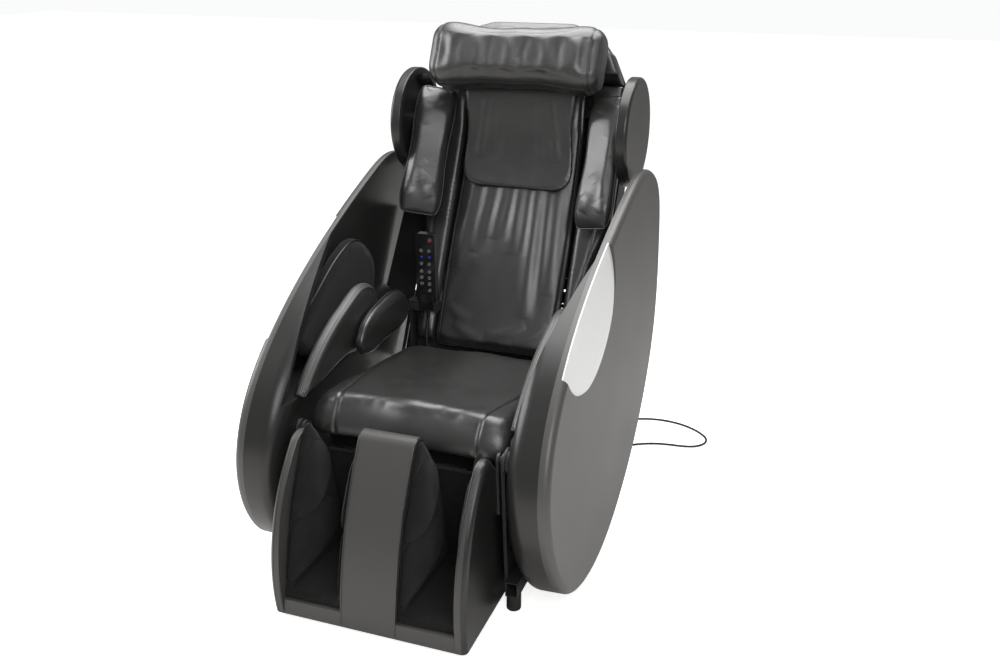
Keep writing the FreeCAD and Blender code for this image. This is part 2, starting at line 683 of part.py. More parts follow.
def air_pump():
    """Air pump: motor block, two cylinders' heads and outlet nozzles, on the middle cross tube."""
    z0 = RAIL_Z[1]
    body = box((70.0, 200.0), (-20.0, 90.0), (z0, z0 + 64.0))
    body = body.makeFillet(8.0, edges_where(body, lambda c, e: c.z > z0 + 63.9))
    parts = []
    for x in (102.0, 168.0):
        parts.append(rod(V(x, 35, z0 + 60), V(x, 35, z0 + 80), 24.0))
        parts.append(rod(V(x, 35, z0 + 80), V(x, 35, z0 + 94), 5.0))
    return body.fuse(parts)


def leg_motor():
    """Planetary gear motor on the left pivot of the leg rest, inside the housing's hollow."""
    x0 = RAIL_X - RAIL_W / 2

    def drum(start, end, radius):
        return rod(V(x0 + start, LEG_HINGE_Y, LEG_HINGE_Z), V(x0 + end, LEG_HINGE_Y, LEG_HINGE_Z), radius)

    parts = [drum(4, 44, MOTOR_GEAR_R - 4), drum(44, 82, 21.0), drum(82, 88, 8.0)]
    flange = drum(0, 5, MOTOR_GEAR_R)
    return flange.multiFuse(parts).cut(drum(-1, 26, LEG_PIN_R + RUN_GAP))


# Power inlet at the back of the base

INLET_X = 120.0
INLET_Y = 346.0
INLET_Z = 118.0
INLET_HALF = 34.0
SWITCH_HALF = 7.0
SWITCH_TALL = 21.0
CORD_Z = 104.0


def power_inlet():
    """Rear connection plate: a small box on the rear cross tube with switch opening and gland."""
    body = box((INLET_X - INLET_HALF, INLET_X + INLET_HALF), (CROSS_Y[2] - 16, INLET_Y), (RAIL_Z[1], RAIL_Z[1] + 62))
    body = body.makeFillet(4.0, edges_where(body, lambda c, e: c.y > INLET_Y - 0.1))
    switch = box((INLET_X - 18 - SWITCH_HALF - REST_GAP, INLET_X - 18 + SWITCH_HALF + REST_GAP),
                 (INLET_Y - 14, INLET_Y + 1),
                 (INLET_Z - SWITCH_TALL / 2 - REST_GAP, INLET_Z + SWITCH_TALL / 2 + REST_GAP))
    gland = rod(V(INLET_X + 16, INLET_Y - 6, CORD_Z), V(INLET_X + 16, INLET_Y + 8, CORD_Z), 8.0)
    relief = Part.makeCone(6.5, CORD_D / 2 + 0.8, 22.0, V(INLET_X + 16, INLET_Y + 8, CORD_Z), V(0, 1, 0))
    bore = rod(V(INLET_X + 16, INLET_Y + 4, CORD_Z), V(INLET_X + 16, INLET_Y + 31, CORD_Z), CORD_D / 2)
    pin = rod(V(INLET_X - 18 - SWITCH_HALF - 2, INLET_Y - 5, INLET_Z),
              V(INLET_X - 18 + SWITCH_HALF + 2, INLET_Y - 5, INLET_Z), 1.5)
    return body.cut(switch).fuse([gland, relief, pin]).cut(bore)


def power_switch():
    """Rocker: two flat flanks that meet in a shallow V, pivoted in its middle."""
    x = INLET_X - 18 - SWITCH_HALF
    half = SWITCH_TALL / 2
    y = INLET_Y
    outline = wire([V(x, y - 9, INLET_Z - half + 3), V(x, y - 9, INLET_Z + half - 3),
                    V(x, y - 0.5, INLET_Z + half - 1), V(x, y + 3.5, INLET_Z + half - 3),
                    V(x, y + 0.5, INLET_Z), V(x, y + 3.5, INLET_Z - half + 3), V(x, y - 0.5, INLET_Z - half + 1)])
    rocker = prism(outline, V(2 * SWITCH_HALF, 0, 0))
    bore = rod(V(x - 1, y - 5, INLET_Z), V(x + 2 * SWITCH_HALF + 1, y - 5, INLET_Z), 1.5 + RUN_GAP)
    return rocker.cut(bore)


# Backrest, drawn upright: x, v (towards the rear) and w (up)

def back_stations():
    """Half width, front and rear of the back shell at the heights that shape it."""
    return (
        (BACK_LOW_W, BACK_LOW_HALF, SHELL_FRONT, SHELL_REAR - 26),
        (BACK_WAIST_W * 0.45, BACK_LOW_HALF + 4, SHELL_FRONT, SHELL_REAR),
        (BACK_WAIST_W, BACK_LOW_HALF + 12, SHELL_FRONT, SHELL_REAR + 8),
        (BACK_FULL_W, BACK_MID_HALF, SHELL_FRONT, SHELL_REAR + 8),
        (620.0, BACK_MID_HALF, SHELL_FRONT - 4, SHELL_REAR),
        (BACK_SHOULDER_W, BACK_MID_HALF - 8, SHELL_FRONT - 22, SHELL_REAR - 54),
        (880.0, BACK_MID_HALF - 52, SHELL_FRONT - 62, SHELL_REAR - 102),
        (BACK_TOP_W, BACK_HEAD_HALF, SHELL_FRONT - 92, SHELL_HEAD_REAR),
    )


def shell_section(w, half, front, rear, grow):
    """Back shell's section: straight front, rounded rear corners; grow moves it outwards."""
    radius = 44.0 + min(grow, 0.0)
    width = half + grow
    low = front - (0.0 if grow >= 0 else 30.0)
    high = rear + grow
    k = radius * (1 - math.sqrt(0.5))
    a = V(-width, low, w)
    b = V(width, low, w)
    right = Part.Arc(V(width, high - radius, w), V(width - k, high - k, w), V(width - radius, high, w))
    left = Part.Arc(V(-width + radius, high, w), V(-width + k, high - k, w), V(-width, high - radius, w))
    return Part.Wire([
        Part.LineSegment(a, b).toShape(),
        Part.LineSegment(b, V(width, high - radius, w)).toShape(),
        right.toShape(),
        Part.LineSegment(V(width - radius, high, w), V(-width + radius, high, w)).toShape(),
        left.toShape(),
        Part.LineSegment(V(-width, high - radius, w), a).toShape(),
    ])


def back_shell():
    """Rear casing of the backrest: a deep tray that narrows at the waist and towards the head."""
    outer = loft([shell_section(w, h, f, r, 0.0) for w, h, f, r in back_stations()], True)
    inner = []
    for w, h, f, r in back_stations():
        level = w - SHELL_WALL if w == BACK_TOP_W else w
        level = level - SHELL_WALL if w == BACK_LOW_W else level
        inner.append(shell_section(level, h, f, r, -SHELL_WALL))
    shell = outer.cut(loft(inner, True))
    for side in (-1, 1):
        for i in range(5):
            w = 170.0 + i * 18.0
            slot = box((side * 110 - 44, side * 110 + 44), (SHELL_REAR - 20, SHELL_REAR + 30), (w, w + 7))
            shell = shell.cut(slot)
    return on_back(shell)


def back_frame():
    """Welded frame of the backrest: two rails, cross tubes, slide rods, hinge lugs and crank."""
    half = BACK_RAIL_W / 2
    rails = []
    for side in (-1, 1):
        x = side * BACK_RAIL_X
        rails.append(rect_tube_w((x - half, x + half), (BACK_RAIL_V, BACK_RAIL_V + BACK_RAIL_W),
                                 (-20.0, BACK_RAIL_TOP)))
        lug_x = HINGE_PLATE_X - PLATE_T - MOVE_GAP
        low, high = sorted((side * (BACK_RAIL_X + half), side * lug_x))
        hub = rod(V(low, 0, 0), V(high, 0, 0), 20.0)
        web = box((low, high), (0.0, BACK_RAIL_V + BACK_RAIL_W), (-20.0, 20.0))
        bore = rod(V(low - 1, 0, 0), V(high + 1, 0, 0), HINGE_PIN_R + RUN_GAP)
        rails.append(hub.fuse(web).cut(bore))
        rails.append(rod(V(side * SLIDE_X, CARRIAGE_V, 60.0), V(side * SLIDE_X, CARRIAGE_V, BACK_RAIL_TOP - 20),
                         SLIDE_TUBE_R))
    for w in (44.0, BACK_RAIL_TOP - 30.0):
        rails.append(box((-BACK_RAIL_X, BACK_RAIL_X), (BACK_RAIL_V + 8, BACK_RAIL_V + 40), (w, w + 22)))
    crank_y, crank_w = to_back(ACT_CRANK_Y, ACT_CRANK_Z)
    ear = ACT_EYE_W / 2 + 1.5
    for side in (-1, 1):
        low, high = sorted((side * ear, side * (ear + 6.0)))
        outline = wire([V(low, crank_y - 12, crank_w), V(low, crank_y + 12, crank_w),
                        V(low, BACK_RAIL_V + 40, 60), V(low, BACK_RAIL_V + 12, 60)])
        rails.append(prism(outline, V(6.0, 0, 0)))
        rails.append(rod(V(low, crank_y, crank_w), V(high, crank_y, crank_w), 12.0))
    rails.append(rod(V(-ear, crank_y, crank_w), V(ear, crank_y, crank_w), ACT_PIN_R))
    screw_end = rod(V(0, CARRIAGE_V, 50.0), V(0, CARRIAGE_V, 80.0), 16.0)
    top_end = rod(V(0, CARRIAGE_V, BACK_RAIL_TOP - 30), V(0, CARRIAGE_V, BACK_RAIL_TOP - 8), 16.0)
    bore = rod(V(0, CARRIAGE_V, 40.0), V(0, CARRIAGE_V, BACK_RAIL_TOP + 20), SCREW_R + RUN_GAP)
    body = rails[0].multiFuse(rails[1:] + [screw_end, top_end])
    return on_back(body.cut(bore))


def rect_tube_w(x, v, w):
    """A rectangular steel tube along w."""
    t = TUBE_WALL
    return box(x, v, w).cut(box((x[0] + t, x[1] - t), (v[0] + t, v[1] - t), (w[0] - 1, w[1] + 1)))


def to_back(y, z):
    """(v, w) of a point given in the chair's frame."""
    angle = math.radians(BACK_ANGLE)
    dy = y - HINGE_Y
    dz = z - HINGE_Z
    return dy * math.sin(angle) - dz * math.cos(angle), dy * math.cos(angle) + dz * math.sin(angle)


def back_cushion():
    """Leather front of the back: gently crowned, thinner at its sides and hem."""
    w0, w1 = CUSHION_W
    rear = CUSHION_FRONT + CUSHION_THICK
    sections = []
    for w, half, front in ((w0, CUSHION_HALF - 6, CUSHION_FRONT + 14), (w0 + 22, CUSHION_HALF, CUSHION_FRONT + 3),
                           (270.0, CUSHION_HALF, CUSHION_FRONT), (520.0, CUSHION_HALF - 4, CUSHION_FRONT - 3),
                           (w1 - 120, CUSHION_HALF - 8, CUSHION_FRONT - 16), (w1, CUSHION_HALF - 14, CUSHION_FRONT - 40)):
        lean_back = min(0.0, front - CUSHION_FRONT)
        back = rear + lean_back
        a = V(-half, back, w)
        b = V(half, back, w)
        c = V(half, front + 14, w)
        d = V(-half, front + 14, w)
        sections.append(Part.Wire([
            Part.LineSegment(a, b).toShape(),
            Part.LineSegment(b, c).toShape(),
            Part.Arc(c, V(0, front, w), d).toShape(),
            Part.LineSegment(d, a).toShape(),
        ]))
    return on_back(loft(sections, True))


def back_bolster():
    """Padded leather strip at +X beside the back cushion, wider above the waist."""
    inner = CUSHION_HALF + SURROUND_GAP
    sections = []
    for w, outer, front in ((44.0, BACK_LOW_HALF - 2, SURROUND_FRONT + 12), (70.0, BACK_LOW_HALF, SURROUND_FRONT),
                            (BACK_WAIST_W - 14, BACK_LOW_HALF + 8, SURROUND_FRONT),
                            (BACK_FULL_W + 10, BACK_MID_HALF + 2, SURROUND_FRONT),
                            (650.0, BACK_MID_HALF + 2, SURROUND_FRONT - 8),
                            (BACK_SHOULDER_W, BACK_MID_HALF - 8, SURROUND_FRONT - 44)):
        rear = SURROUND_REAR + min(0.0, (front - SURROUND_FRONT) * 0.62)
        sections.append(rounded_section("z", w, (inner, outer), (front, rear), 11.0))
    return on_back(loft(sections, True))


def head_pad():
    """Leather head part above the back cushion."""
    sections = []
    for w, half, front, rear in ((800.0, BACK_MID_HALF - 11, HEAD_FRONT + 22, -34.0),
                                 (850.0, BACK_MID_HALF - 34, HEAD_FRONT, -58.0),
                                 (905.0, BACK_MID_HALF - 78, HEAD_FRONT, -84.0),
                                 (BACK_TOP_W - 8, BACK_HEAD_HALF - 10, HEAD_FRONT + 18, -100.0)):
        sections.append(rounded_section("z", w, (-half, half), (front, rear), 16.0))
    return on_back(loft(sections, True))


def shoulder_shell():
    """Round wing beside the shoulder: a dished disc with a rolled rim and its bracket."""
    x0, x1 = SHOULDER_X
    disc = rod(V(x0, SHOULDER_V, SHOULDER_W), V(x1, SHOULDER_V, SHOULDER_W), SHOULDER_R)
    disc = disc.makeFillet(9.0, edges_where(disc, lambda c, e: c.x > x1 - 0.1))
    disc = disc.makeFillet(4.0, edges_where(disc, lambda c, e: c.x < x0 + 0.1))
    dish = Part.makeCone(SHOULDER_R - 16, SHOULDER_R - 34, x1 - x0 - SHOULDER_WALL,
                         V(x0 - 0.01, SHOULDER_V, SHOULDER_W), V(1, 0, 0))
    hub = rod(V(x0, SHOULDER_V + 30, SHOULDER_W), V(x1 - 1, SHOULDER_V + 30, SHOULDER_W), 26.0)
    block = box((BACK_MID_HALF + 2.6, x0 + 12), (-52.0, -16.0), (SHOULDER_W - 78, SHOULDER_W + 78))
    foot = box((BACK_MID_HALF, x0 + 12), (2.0, 34.0), (SHOULDER_W - 78, SHOULDER_W + 60))
    web = box((BACK_MID_HALF + 8, x0 + 12), (-30.0, 12.0), (SHOULDER_W - 70, SHOULDER_W + 52))
    return on_back(disc.cut(dish).fuse([hub, block, foot, web]))


def shoulder_pad():
    """Leather pillow in front of the shoulder wing, turned a little towards the sitter."""
    w0, w1 = SHOULDER_PAD_W
    length = w1 - w0
    width = math.hypot(SHOULDER_PAD_X[1] - SHOULDER_PAD_X[0], SHOULDER_PAD_V[1] - SHOULDER_PAD_V[0])
    turn = math.degrees(math.atan2(SHOULDER_PAD_V[1] - SHOULDER_PAD_V[0], SHOULDER_PAD_X[1] - SHOULDER_PAD_X[0]))
    sections = []
    for t, narrow, thin in ((0.0, 7.0, 0.20), (0.05, 2.0, 0.62), (0.30, 1.0, 1.0), (0.70, 1.0, 0.96),
                            (0.95, 4.0, 0.6), (1.0, 9.0, 0.20)):
        half = SHOULDER_PAD_THICK * thin / 2
        sections.append(rounded_section("z", w0 + t * length, (narrow, width - narrow), (-half, half), half * 0.8))
    pad = loft(sections)
    pad.rotate(V(0, 0, 0), V(0, 0, 1), turn)
    pad.translate(V(SHOULDER_PAD_X[0], SHOULDER_PAD_V[0], 0))
    return on_back(pad)


def head_pillow():
    """Bolster pillow: a full roll, closed by flat seamed ends."""
    mid_w = (PILLOW_W[0] + PILLOW_W[1]) / 2
    mid_v = (PILLOW_V[0] + PILLOW_V[1]) / 2
    half_w = (PILLOW_W[1] - PILLOW_W[0]) / 2
    half_v = (PILLOW_V[1] - PILLOW_V[0]) / 2
    sections = []
    for x, size in ((-1.0, 0.80), (-0.96, 0.93), (-0.5, 1.0), (0.0, 0.97), (0.5, 1.0), (0.96, 0.93), (1.0, 0.80)):
        a = (mid_v - half_v * size, mid_v + half_v * size)
        b = (mid_w - half_w * size, mid_w + half_w * size)
        sections.append(rounded_section("x", x * PILLOW_HALF, a, b, half_v * size * 0.82))
    rear = box((-300.0, 300.0), (PILLOW_V[1], 0.0), (600.0, 1000.0))
    return on_back(loft(sections).cut(rear))


def pillow_flap():
    """Leather tab that hangs from the pillow over the upper back."""
    top = PILLOW_W[0] + 44.0
    front_top = PILLOW_V[1] + REST_GAP
    sections = []
    for w, half, front in ((FLAP_LOW_W, FLAP_HALF - 46, CUSHION_FRONT - 20), (FLAP_LOW_W + 26, FLAP_HALF - 2, CUSHION_FRONT - 22),
                           (600.0, FLAP_HALF, CUSHION_FRONT - 42), (680.0, FLAP_HALF, CUSHION_FRONT - 80),
                           (top, FLAP_HALF, front_top)):
        sections.append(rounded_section("z", w, (-half, half), (front, front + FLAP_THICK), 3.5))
    return on_back(loft(sections))


# Massage drive

def lead_screw():
    """Lead screw that lifts the carriage, with its collar and pulley end."""
    shaft = rod(V(0, CARRIAGE_V, SCREW_LOW_W), V(0, CARRIAGE_V, SCREW_HIGH_W), SCREW_R)
    collar = rod(V(0, CARRIAGE_V, 80.6), V(0, CARRIAGE_V, 92.0), 14.0)
    pulley = rod(V(0, CARRIAGE_V, 90.0), V(0, CARRIAGE_V, 106.0), 23.0)
    flat = box((18.0, 30.0), (CARRIAGE_V - 30, CARRIAGE_V + 30), (89.0, 107.0))
    return on_back(shaft.fuse([collar, pulley.cut(flat)]))


def massage_carriage():
    """Carriage: two sheet cheeks, cross plates, slide bushes, screw nut and kneading shaft."""
    w = CARRIAGE_W
    parts = []
    for side in (-1, 1):
        x = side * 132.0
        parts.append(box((x - CARRIAGE_T / 2, x + CARRIAGE_T / 2), (6.0, 74.0), (w - 55, w + 55)))
        low, high = sorted((x, side * (SLIDE_X + 2)))
        parts.append(box((low, high), (CARRIAGE_V - 10, CARRIAGE_V + 10), (w - 50, w - 20)))
        parts.append(box((low, high), (CARRIAGE_V - 10, CARRIAGE_V + 10), (w + 20, w + 50)))
        for level in (w - 50, w + 20):
            parts.append(rod(V(side * SLIDE_X, CARRIAGE_V, level), V(side * SLIDE_X, CARRIAGE_V, level + 30), 14.0))
    parts.append(box((-134.0, 134.0), (62.0, 74.0), (w - 30, w + 30)))
    parts.append(box((-30.0, 30.0), (CARRIAGE_V - 16, 70.0), (w - 22, w + 22)))
    parts.append(rod(V(-134, KNEAD_SHAFT_V, w), V(134, KNEAD_SHAFT_V, w), KNEAD_SHAFT_R))
    parts.append(rod(V(88, 70, w - 22), V(88, 70, w - 90), 20.0))
    body = parts[0].multiFuse(parts[1:])
    body = body.cut(rod(V(0, CARRIAGE_V, w - 120), V(0, CARRIAGE_V, w + 120), SCREW_R + RUN_GAP))
    for side in (-1, 1):
        body = body.cut(rod(V(side * SLIDE_X, CARRIAGE_V, w - 120), V(side * SLIDE_X, CARRIAGE_V, w + 120),
                            SLIDE_TUBE_R + RUN_GAP))
    return on_back(body)


def massage_arm(side):
    """Curved arm on the kneading shaft with an axle at each end for a roller."""
    x0 = side * ARM_X - ARM_T / 2
    w = CARRIAGE_W
    hub = rod(V(x0, KNEAD_SHAFT_V, w), V(x0 + ARM_T, KNEAD_SHAFT_V, w), 18.0)
    parts = [hub]
    for up in (-1, 1):
        outline = wire([V(x0, KNEAD_SHAFT_V + 12, w), V(x0, KNEAD_SHAFT_V - 12, w),
                        V(x0, ROLLER_V - 8, w + up * ARM_REACH), V(x0, ROLLER_V + 8, w + up * (ARM_REACH + 2))])
        parts.append(prism(outline, V(ARM_T, 0, 0)))
        parts.append(rod(V(x0, ROLLER_V, w + up * ARM_REACH), V(x0 + ARM_T, ROLLER_V, w + up * ARM_REACH), 9.0))
        reach = side * (ROLLER_W + ARM_T / 2 + 3.0)
        start = V(side * ARM_X, ROLLER_V, w + up * ARM_REACH)
        parts.append(rod(start, start + V(reach, 0, 0), ROLLER_AXLE_R))
        tip = start + V(reach - side * 1.5, 0, 0)
        parts.append(rod(tip, tip + V(side * 3.0, 0, 0), ROLLER_AXLE_R + 3.0))
    body = parts[0].multiFuse(parts[1:])
    bore = rod(V(x0 - 1, KNEAD_SHAFT_V, w), V(x0 + ARM_T + 1, KNEAD_SHAFT_V, w), KNEAD_SHAFT_R + RUN_GAP)
    return on_back(body.cut(bore))


def massage_roller(side, up):
    """Barrel roller on its axle."""
    start = side * (ARM_X + ARM_T / 2 + 0.6)
    w = CARRIAGE_W + up * ARM_REACH
    a = 0.0
    b = ROLLER_W
    bore = ROLLER_AXLE_R + RUN_GAP
    rise = ROLLER_R - 5.0
    barrel = Part.BSplineCurve()
    barrel.interpolate([V(a, 0, rise), V(b * 0.25, 0, ROLLER_R - 1.2), V(b * 0.75, 0, ROLLER_R - 1.2), V(b, 0, rise)])
    edges = [
        Part.LineSegment(V(a, 0, bore), V(a, 0, rise)).toShape(),
        barrel.toShape(),
        Part.LineSegment(V(b, 0, rise), V(b, 0, bore)).toShape(),
        Part.LineSegment(V(b, 0, bore), V(a, 0, bore)).toShape(),
    ]
    roller = Part.Face(Part.Wire(edges)).revolve(V(0, 0, 0), V(1, 0, 0), 360)
    if side < 0:
        roller = mirrored(roller)
    roller.translate(V(start, ROLLER_V, w))
    return on_back(roller)


# Recline actuator

def actuator_axis():
    """Foot, crank pin and unit direction of the recline actuator."""
    foot = V(0, ACT_BASE_Y, ACT_BASE_Z)
    crank = V(0, ACT_CRANK_Y, ACT_CRANK_Z)
    return foot, crank, (crank - foot).normalize()


def recline_actuator():
    """Outer tube, motor and foot eye of the linear actuator."""
    foot, crank, along = actuator_axis()
    half = ACT_EYE_W / 2
    eye = rod(foot - V(half, 0, 0), foot + V(half, 0, 0), 11.0)
    tube = rod(foot + along * 13, foot + along * ACT_TUBE_L, ACT_TUBE_R)
    neck = rod(foot, foot + along * 16, 7.5)
    gearbox = rod(foot + along * 26, foot + along * 56, 24.0)
    motor = rod(foot + along * 41 + V(10, 0, 0), foot + along * 41 + V(92, 0, 0), 20.0)
    bore = rod(foot - V(half + 1, 0, 0), foot + V(half + 1, 0, 0), ACT_PIN_R + RUN_GAP)
    barrel = rod(foot + along * 62, foot + along * (ACT_TUBE_L + 1), ACT_ROD_R + RUN_GAP)
    body = eye.multiFuse([neck, tube, gearbox, motor])
    return body.cut(bore).cut(barrel)


def recline_rod():
    """Push rod with an eye that has play on the backrest's crank pin."""
    foot, crank, along = actuator_axis()
    half = ACT_EYE_W / 2
    shaft = rod(foot + along * 118, crank - along * (ACT_EYE_R - 3), ACT_ROD_R)
    eye = rod(crank - V(half, 0, 0), crank + V(half, 0, 0), ACT_EYE_R)
    bore = rod(crank - V(half + 1, 0, 0), crank + V(half + 1, 0, 0), ACT_PIN_R + ACT_PLAY)
    return shaft.fuse(eye).cut(bore)


# Leg rest

def tangent_arc(start, direction, end):
    """The arc that leaves start along direction and ends at end."""
    chord = end - start
    unit = V(direction).normalize()
    square = chord - unit * chord.dot(unit)
    square.normalize()
    radius = chord.dot(chord) / (2 * chord.dot(square))
    centre = start + square * radius
    middle = centre + ((start + end) * 0.5 - centre).normalize() * radius
    return Part.Arc(start, middle, end)


def leg_profile(x, front):
    """Side view of the leg rest at the plane x, with the front of its column or its side walls."""
    toe, shin, knee, rear = [V(x, y, z) for y, z in front]
    rise = Part.Arc(toe, shin, knee)
    crown = tangent_arc(knee, rise.tangent(rise.LastParameter)[0], rear)
    corners = [rear] + [V(x, y, z) for y, z in (LEG_BACK_TOP, LEG_HEEL, LEG_HEEL_LOW)] + [toe]
    edges = [rise.toShape(), crown.toShape()]
    for start, end in zip(corners, corners[1:]):
        edges.append(Part.LineSegment(start, end).toShape())
    return Part.Wire(edges)


def inset_profile(x, front, gap):
    """The leg rest's side view drawn in by gap all round."""
    face = Part.Face(leg_profile(x, front))
    return face.makeOffset2D(-gap)


def well_cutter(over=0.0, gap=0.0):
    """The space of one calf well at +X; over widens it outwards, gap draws it in."""
    x0 = LEG_COLUMN_HALF + gap
    x1 = LEG_WELL_OUT + over - gap
    sole = LEG_SOLE_Z + gap
    rear_low = LEG_HEEL[0] - LEG_REAR_WALL - gap
    rear_top = LEG_BACK_TOP[0] - LEG_REAR_WALL - gap
    outline = wire([V(x0, -760, sole), V(x0, rear_low - 3, sole), V(x0, rear_top, LEG_BACK_TOP[1]),
                    V(x0, rear_top - 8, 520), V(x0, -760, 520)])
    return prism(outline, V(x1 - x0, 0, 0))


def leg_rest_shell():
    """Moulded leg rest: domed middle column, side walls, sole tray and rear wall."""
    body = prism(leg_profile(-LEG_WELL_OUT, LEG_COLUMN), V(2 * LEG_WELL_OUT, 0, 0))
    body = body.cut(well_cutter(1.0)).cut(mirrored(well_cutter(1.0)))
    shaft = inset_profile(-LEG_COLUMN_HALF + LEG_WALL, LEG_COLUMN, LEG_WALL)
    body = body.cut(prism_face(shaft, 2 * (LEG_COLUMN_HALF - LEG_WALL)))
    inside = LEG_WELL_OUT - LEG_WALL
    low = LEG_TOE[1] + LEG_WALL
    body = body.cut(box((-inside, inside), (LEG_TOE[0] + 16, LEG_HEEL_LOW[0] - LEG_WALL), (low, LEG_SOLE_Z - LEG_WALL)))
    thick = LEG_HALF - LEG_WELL_OUT
    for side in (-1, 1):
        x0 = LEG_WELL_OUT if side > 0 else -LEG_HALF
        outer = side * LEG_HALF
        wall = prism(leg_profile(x0, LEG_SIDE), V(thick, 0, 0))
        front = edges_where(wall, lambda c, e: abs(c.x - outer) < 0.1 and c.y < -350 and c.z > 60)
        wall = wall.makeFillet(LEG_FRONT_R, front)
        pocket = inset_profile(x0 + LEG_WALL, LEG_SIDE, LEG_WALL + 6)
        body = body.fuse(wall.cut(prism_face(pocket, thick - 2 * LEG_WALL)))
    return body


def prism_face(face, length):
    """A solid from a flat face, pushed along +X."""
    return face.extrude(V(length, 0, 0))


def leg_rest_frame():
    """Side plates with pivot pins, joined by a cross tube behind the leg rest."""
    tube_y = LEG_BACK_TOP[0] + 26.0 + REST_GAP
    tube_z = LEG_BACK_TOP[1] - 62.0
    parts = []
    for side in (-1, 1):
        x0 = LEG_HALF + REST_GAP if side > 0 else -LEG_HALF - REST_GAP - LEG_PLATE_T
        outline = wire([V(x0, LEG_HINGE_Y - 15, LEG_HINGE_Z), V(x0, LEG_HINGE_Y + 15, LEG_HINGE_Z + 6),
                        V(x0, tube_y + 12, tube_z + 4), V(x0, tube_y - 6, tube_z - 14), V(x0, -420, 250)])
        parts.append(prism(outline, V(LEG_PLATE_T, 0, 0)))
        parts.append(rod(V(x0, LEG_HINGE_Y, LEG_HINGE_Z), V(x0 + LEG_PLATE_T, LEG_HINGE_Y, LEG_HINGE_Z), 16.0))
        start = side * (LEG_HALF + REST_GAP)
        end = side * (RAIL_X - RAIL_W / 2 + (22.0 if side > 0 else 3.0))
        parts.append(rod(V(start, LEG_HINGE_Y, LEG_HINGE_Z), V(end, LEG_HINGE_Y, LEG_HINGE_Z), LEG_PIN_R))
    reach = LEG_HALF + REST_GAP + LEG_PLATE_T
    parts.append(rod(V(-reach, tube_y, tube_z), V(reach, tube_y, tube_z), 11.0))
    return parts[0].multiFuse(parts[1:])


def calf_liner():
    """Cloth lining of one calf well at +X with its thicker sole pad."""
    gap = REST_GAP
    outer = well_cutter(0.0, gap)
    x0 = LEG_COLUMN_HALF + gap + LINER_T
    x1 = LEG_WELL_OUT - gap - LINER_T
    sole = LEG_SOLE_Z + gap + SOLE_PAD_T
    rear_low = LEG_HEEL[0] - LEG_REAR_WALL - gap - LINER_T
    rear_top = LEG_BACK_TOP[0] - LEG_REAR_WALL - gap - LINER_T
    room = prism(wire([V(x0, -780, sole), V(x0, rear_low - 6, sole), V(x0, rear_top, LEG_BACK_TOP[1]),
                       V(x0, rear_top - 8, 540), V(x0, -780, 540)]), V(x1 - x0, 0, 0))
    lining = outer.cut(room)
    side_view = prism_face(inset_profile(LEG_COLUMN_HALF - 2, LEG_COLUMN, 8.0), 200.0)
    return lining.common(side_view)


# Handset

def handset_case():
    """Slim remote with rounded corners, key wells and a ribbed cable boot."""
    x = (SET_X - SET_HALF, SET_X + SET_HALF)
    body = box(x, SET_Y, SET_Z)
    upright = edges_where(body, lambda c, e: abs(c.y - (SET_Y[0] + SET_Y[1]) / 2) < 0.1)
    body = body.makeFillet(8.0, upright)
    for name, keys in key_layout().items():
        for key_x, key_z, radius in keys:
            body = body.cut(rod(V(key_x, SET_Y[0] - 1, key_z), V(key_x, SET_Y[0] + 4, key_z), radius + REST_GAP))
    boot = Part.makeCone(6.0, 4.0, 26.0, V(SET_X, 201, SET_Z[0]), V(0, 0, -1))
    bore = rod(V(SET_X, 201, SET_Z[0] - 30), V(SET_X, 201, SET_Z[0] - 14), SET_CORD_D / 2)
    return body.fuse(boot).cut(bore)


def key_layout():
    """Name of each key or key row, with the (x, z, radius) of its caps."""
    rows = {"handset_power_key": [(SET_X + KEY_COLUMN + 3.0, SET_Z[1] - POWER_KEY_DOWN, POWER_KEY_R)]}
    for i, down in enumerate(KEY_ROWS_DOWN):
        z = SET_Z[1] - down
        right = (SET_X + KEY_COLUMN, z, KEY_R)
        left = (SET_X - KEY_COLUMN, z, KEY_R)
        rows[f"handset_keys_{i + 1}"] = [right] if i == len(KEY_ROWS_DOWN) - 1 else [left, right]
    return rows


def handset_keys(keys):
    """Round caps of one row, joined under the case's face by their rubber bar."""
    caps = []
    for x, z, radius in keys:
        cap = rod(V(x, SET_Y[0] - KEY_STAND, z), V(x, SET_Y[0] + 2.6, z), radius)
        caps.append(cap.makeFillet(0.8, edges_where(cap, lambda c, e: c.y < SET_Y[0] - 1.4)))
    return Part.makeCompound(caps)


# Cords

def cord_path(points):
    """Straight runs joined by tangent arcs, with the radius of each arc."""
    edges = []
    radii = []
    start = points[0]
    for before, corner, after in zip(points, points[1:], points[2:]):
        arriving = corner - before
        leaving = after - corner
        half_turn = arriving.getAngle(leaving) / 2
        reach = 0.45 * min(arriving.Length, leaving.Length)
        radii.append(reach / math.tan(half_turn))
        bend_start = corner - arriving.normalize() * reach
        bend_end = corner + leaving.normalize() * reach
        edges.append(Part.LineSegment(start, bend_start).toShape())
        edges.append(tangent_arc(bend_start, arriving, bend_end).toShape())
        start = bend_end
    edges.append(Part.LineSegment(start, points[-1]).toShape())
    return Part.Wire(edges), radii


def tube_along(path, start, direction, diameter):
    """A round tube along a wire."""
    ring = Part.Wire([Part.Circle(start, direction, diameter / 2).toShape()])
    return path.makePipeShell([ring], True, False)


def cord_tube(name, route, diameter):
    """A round cord along a route of points; prints its length and bends."""
    points = [V(*place) for place in route]
    path, radii = cord_path(points)
    tube = tube_along(path, points[0], points[1] - points[0], diameter)
    volume = math.pi * (diameter / 2) ** 2 * path.Length
    print(name, "length", round(path.Length), "radii", [round(r) for r in radii],
          "volume ratio", round(tube.Volume / volume, 4))
    return tube


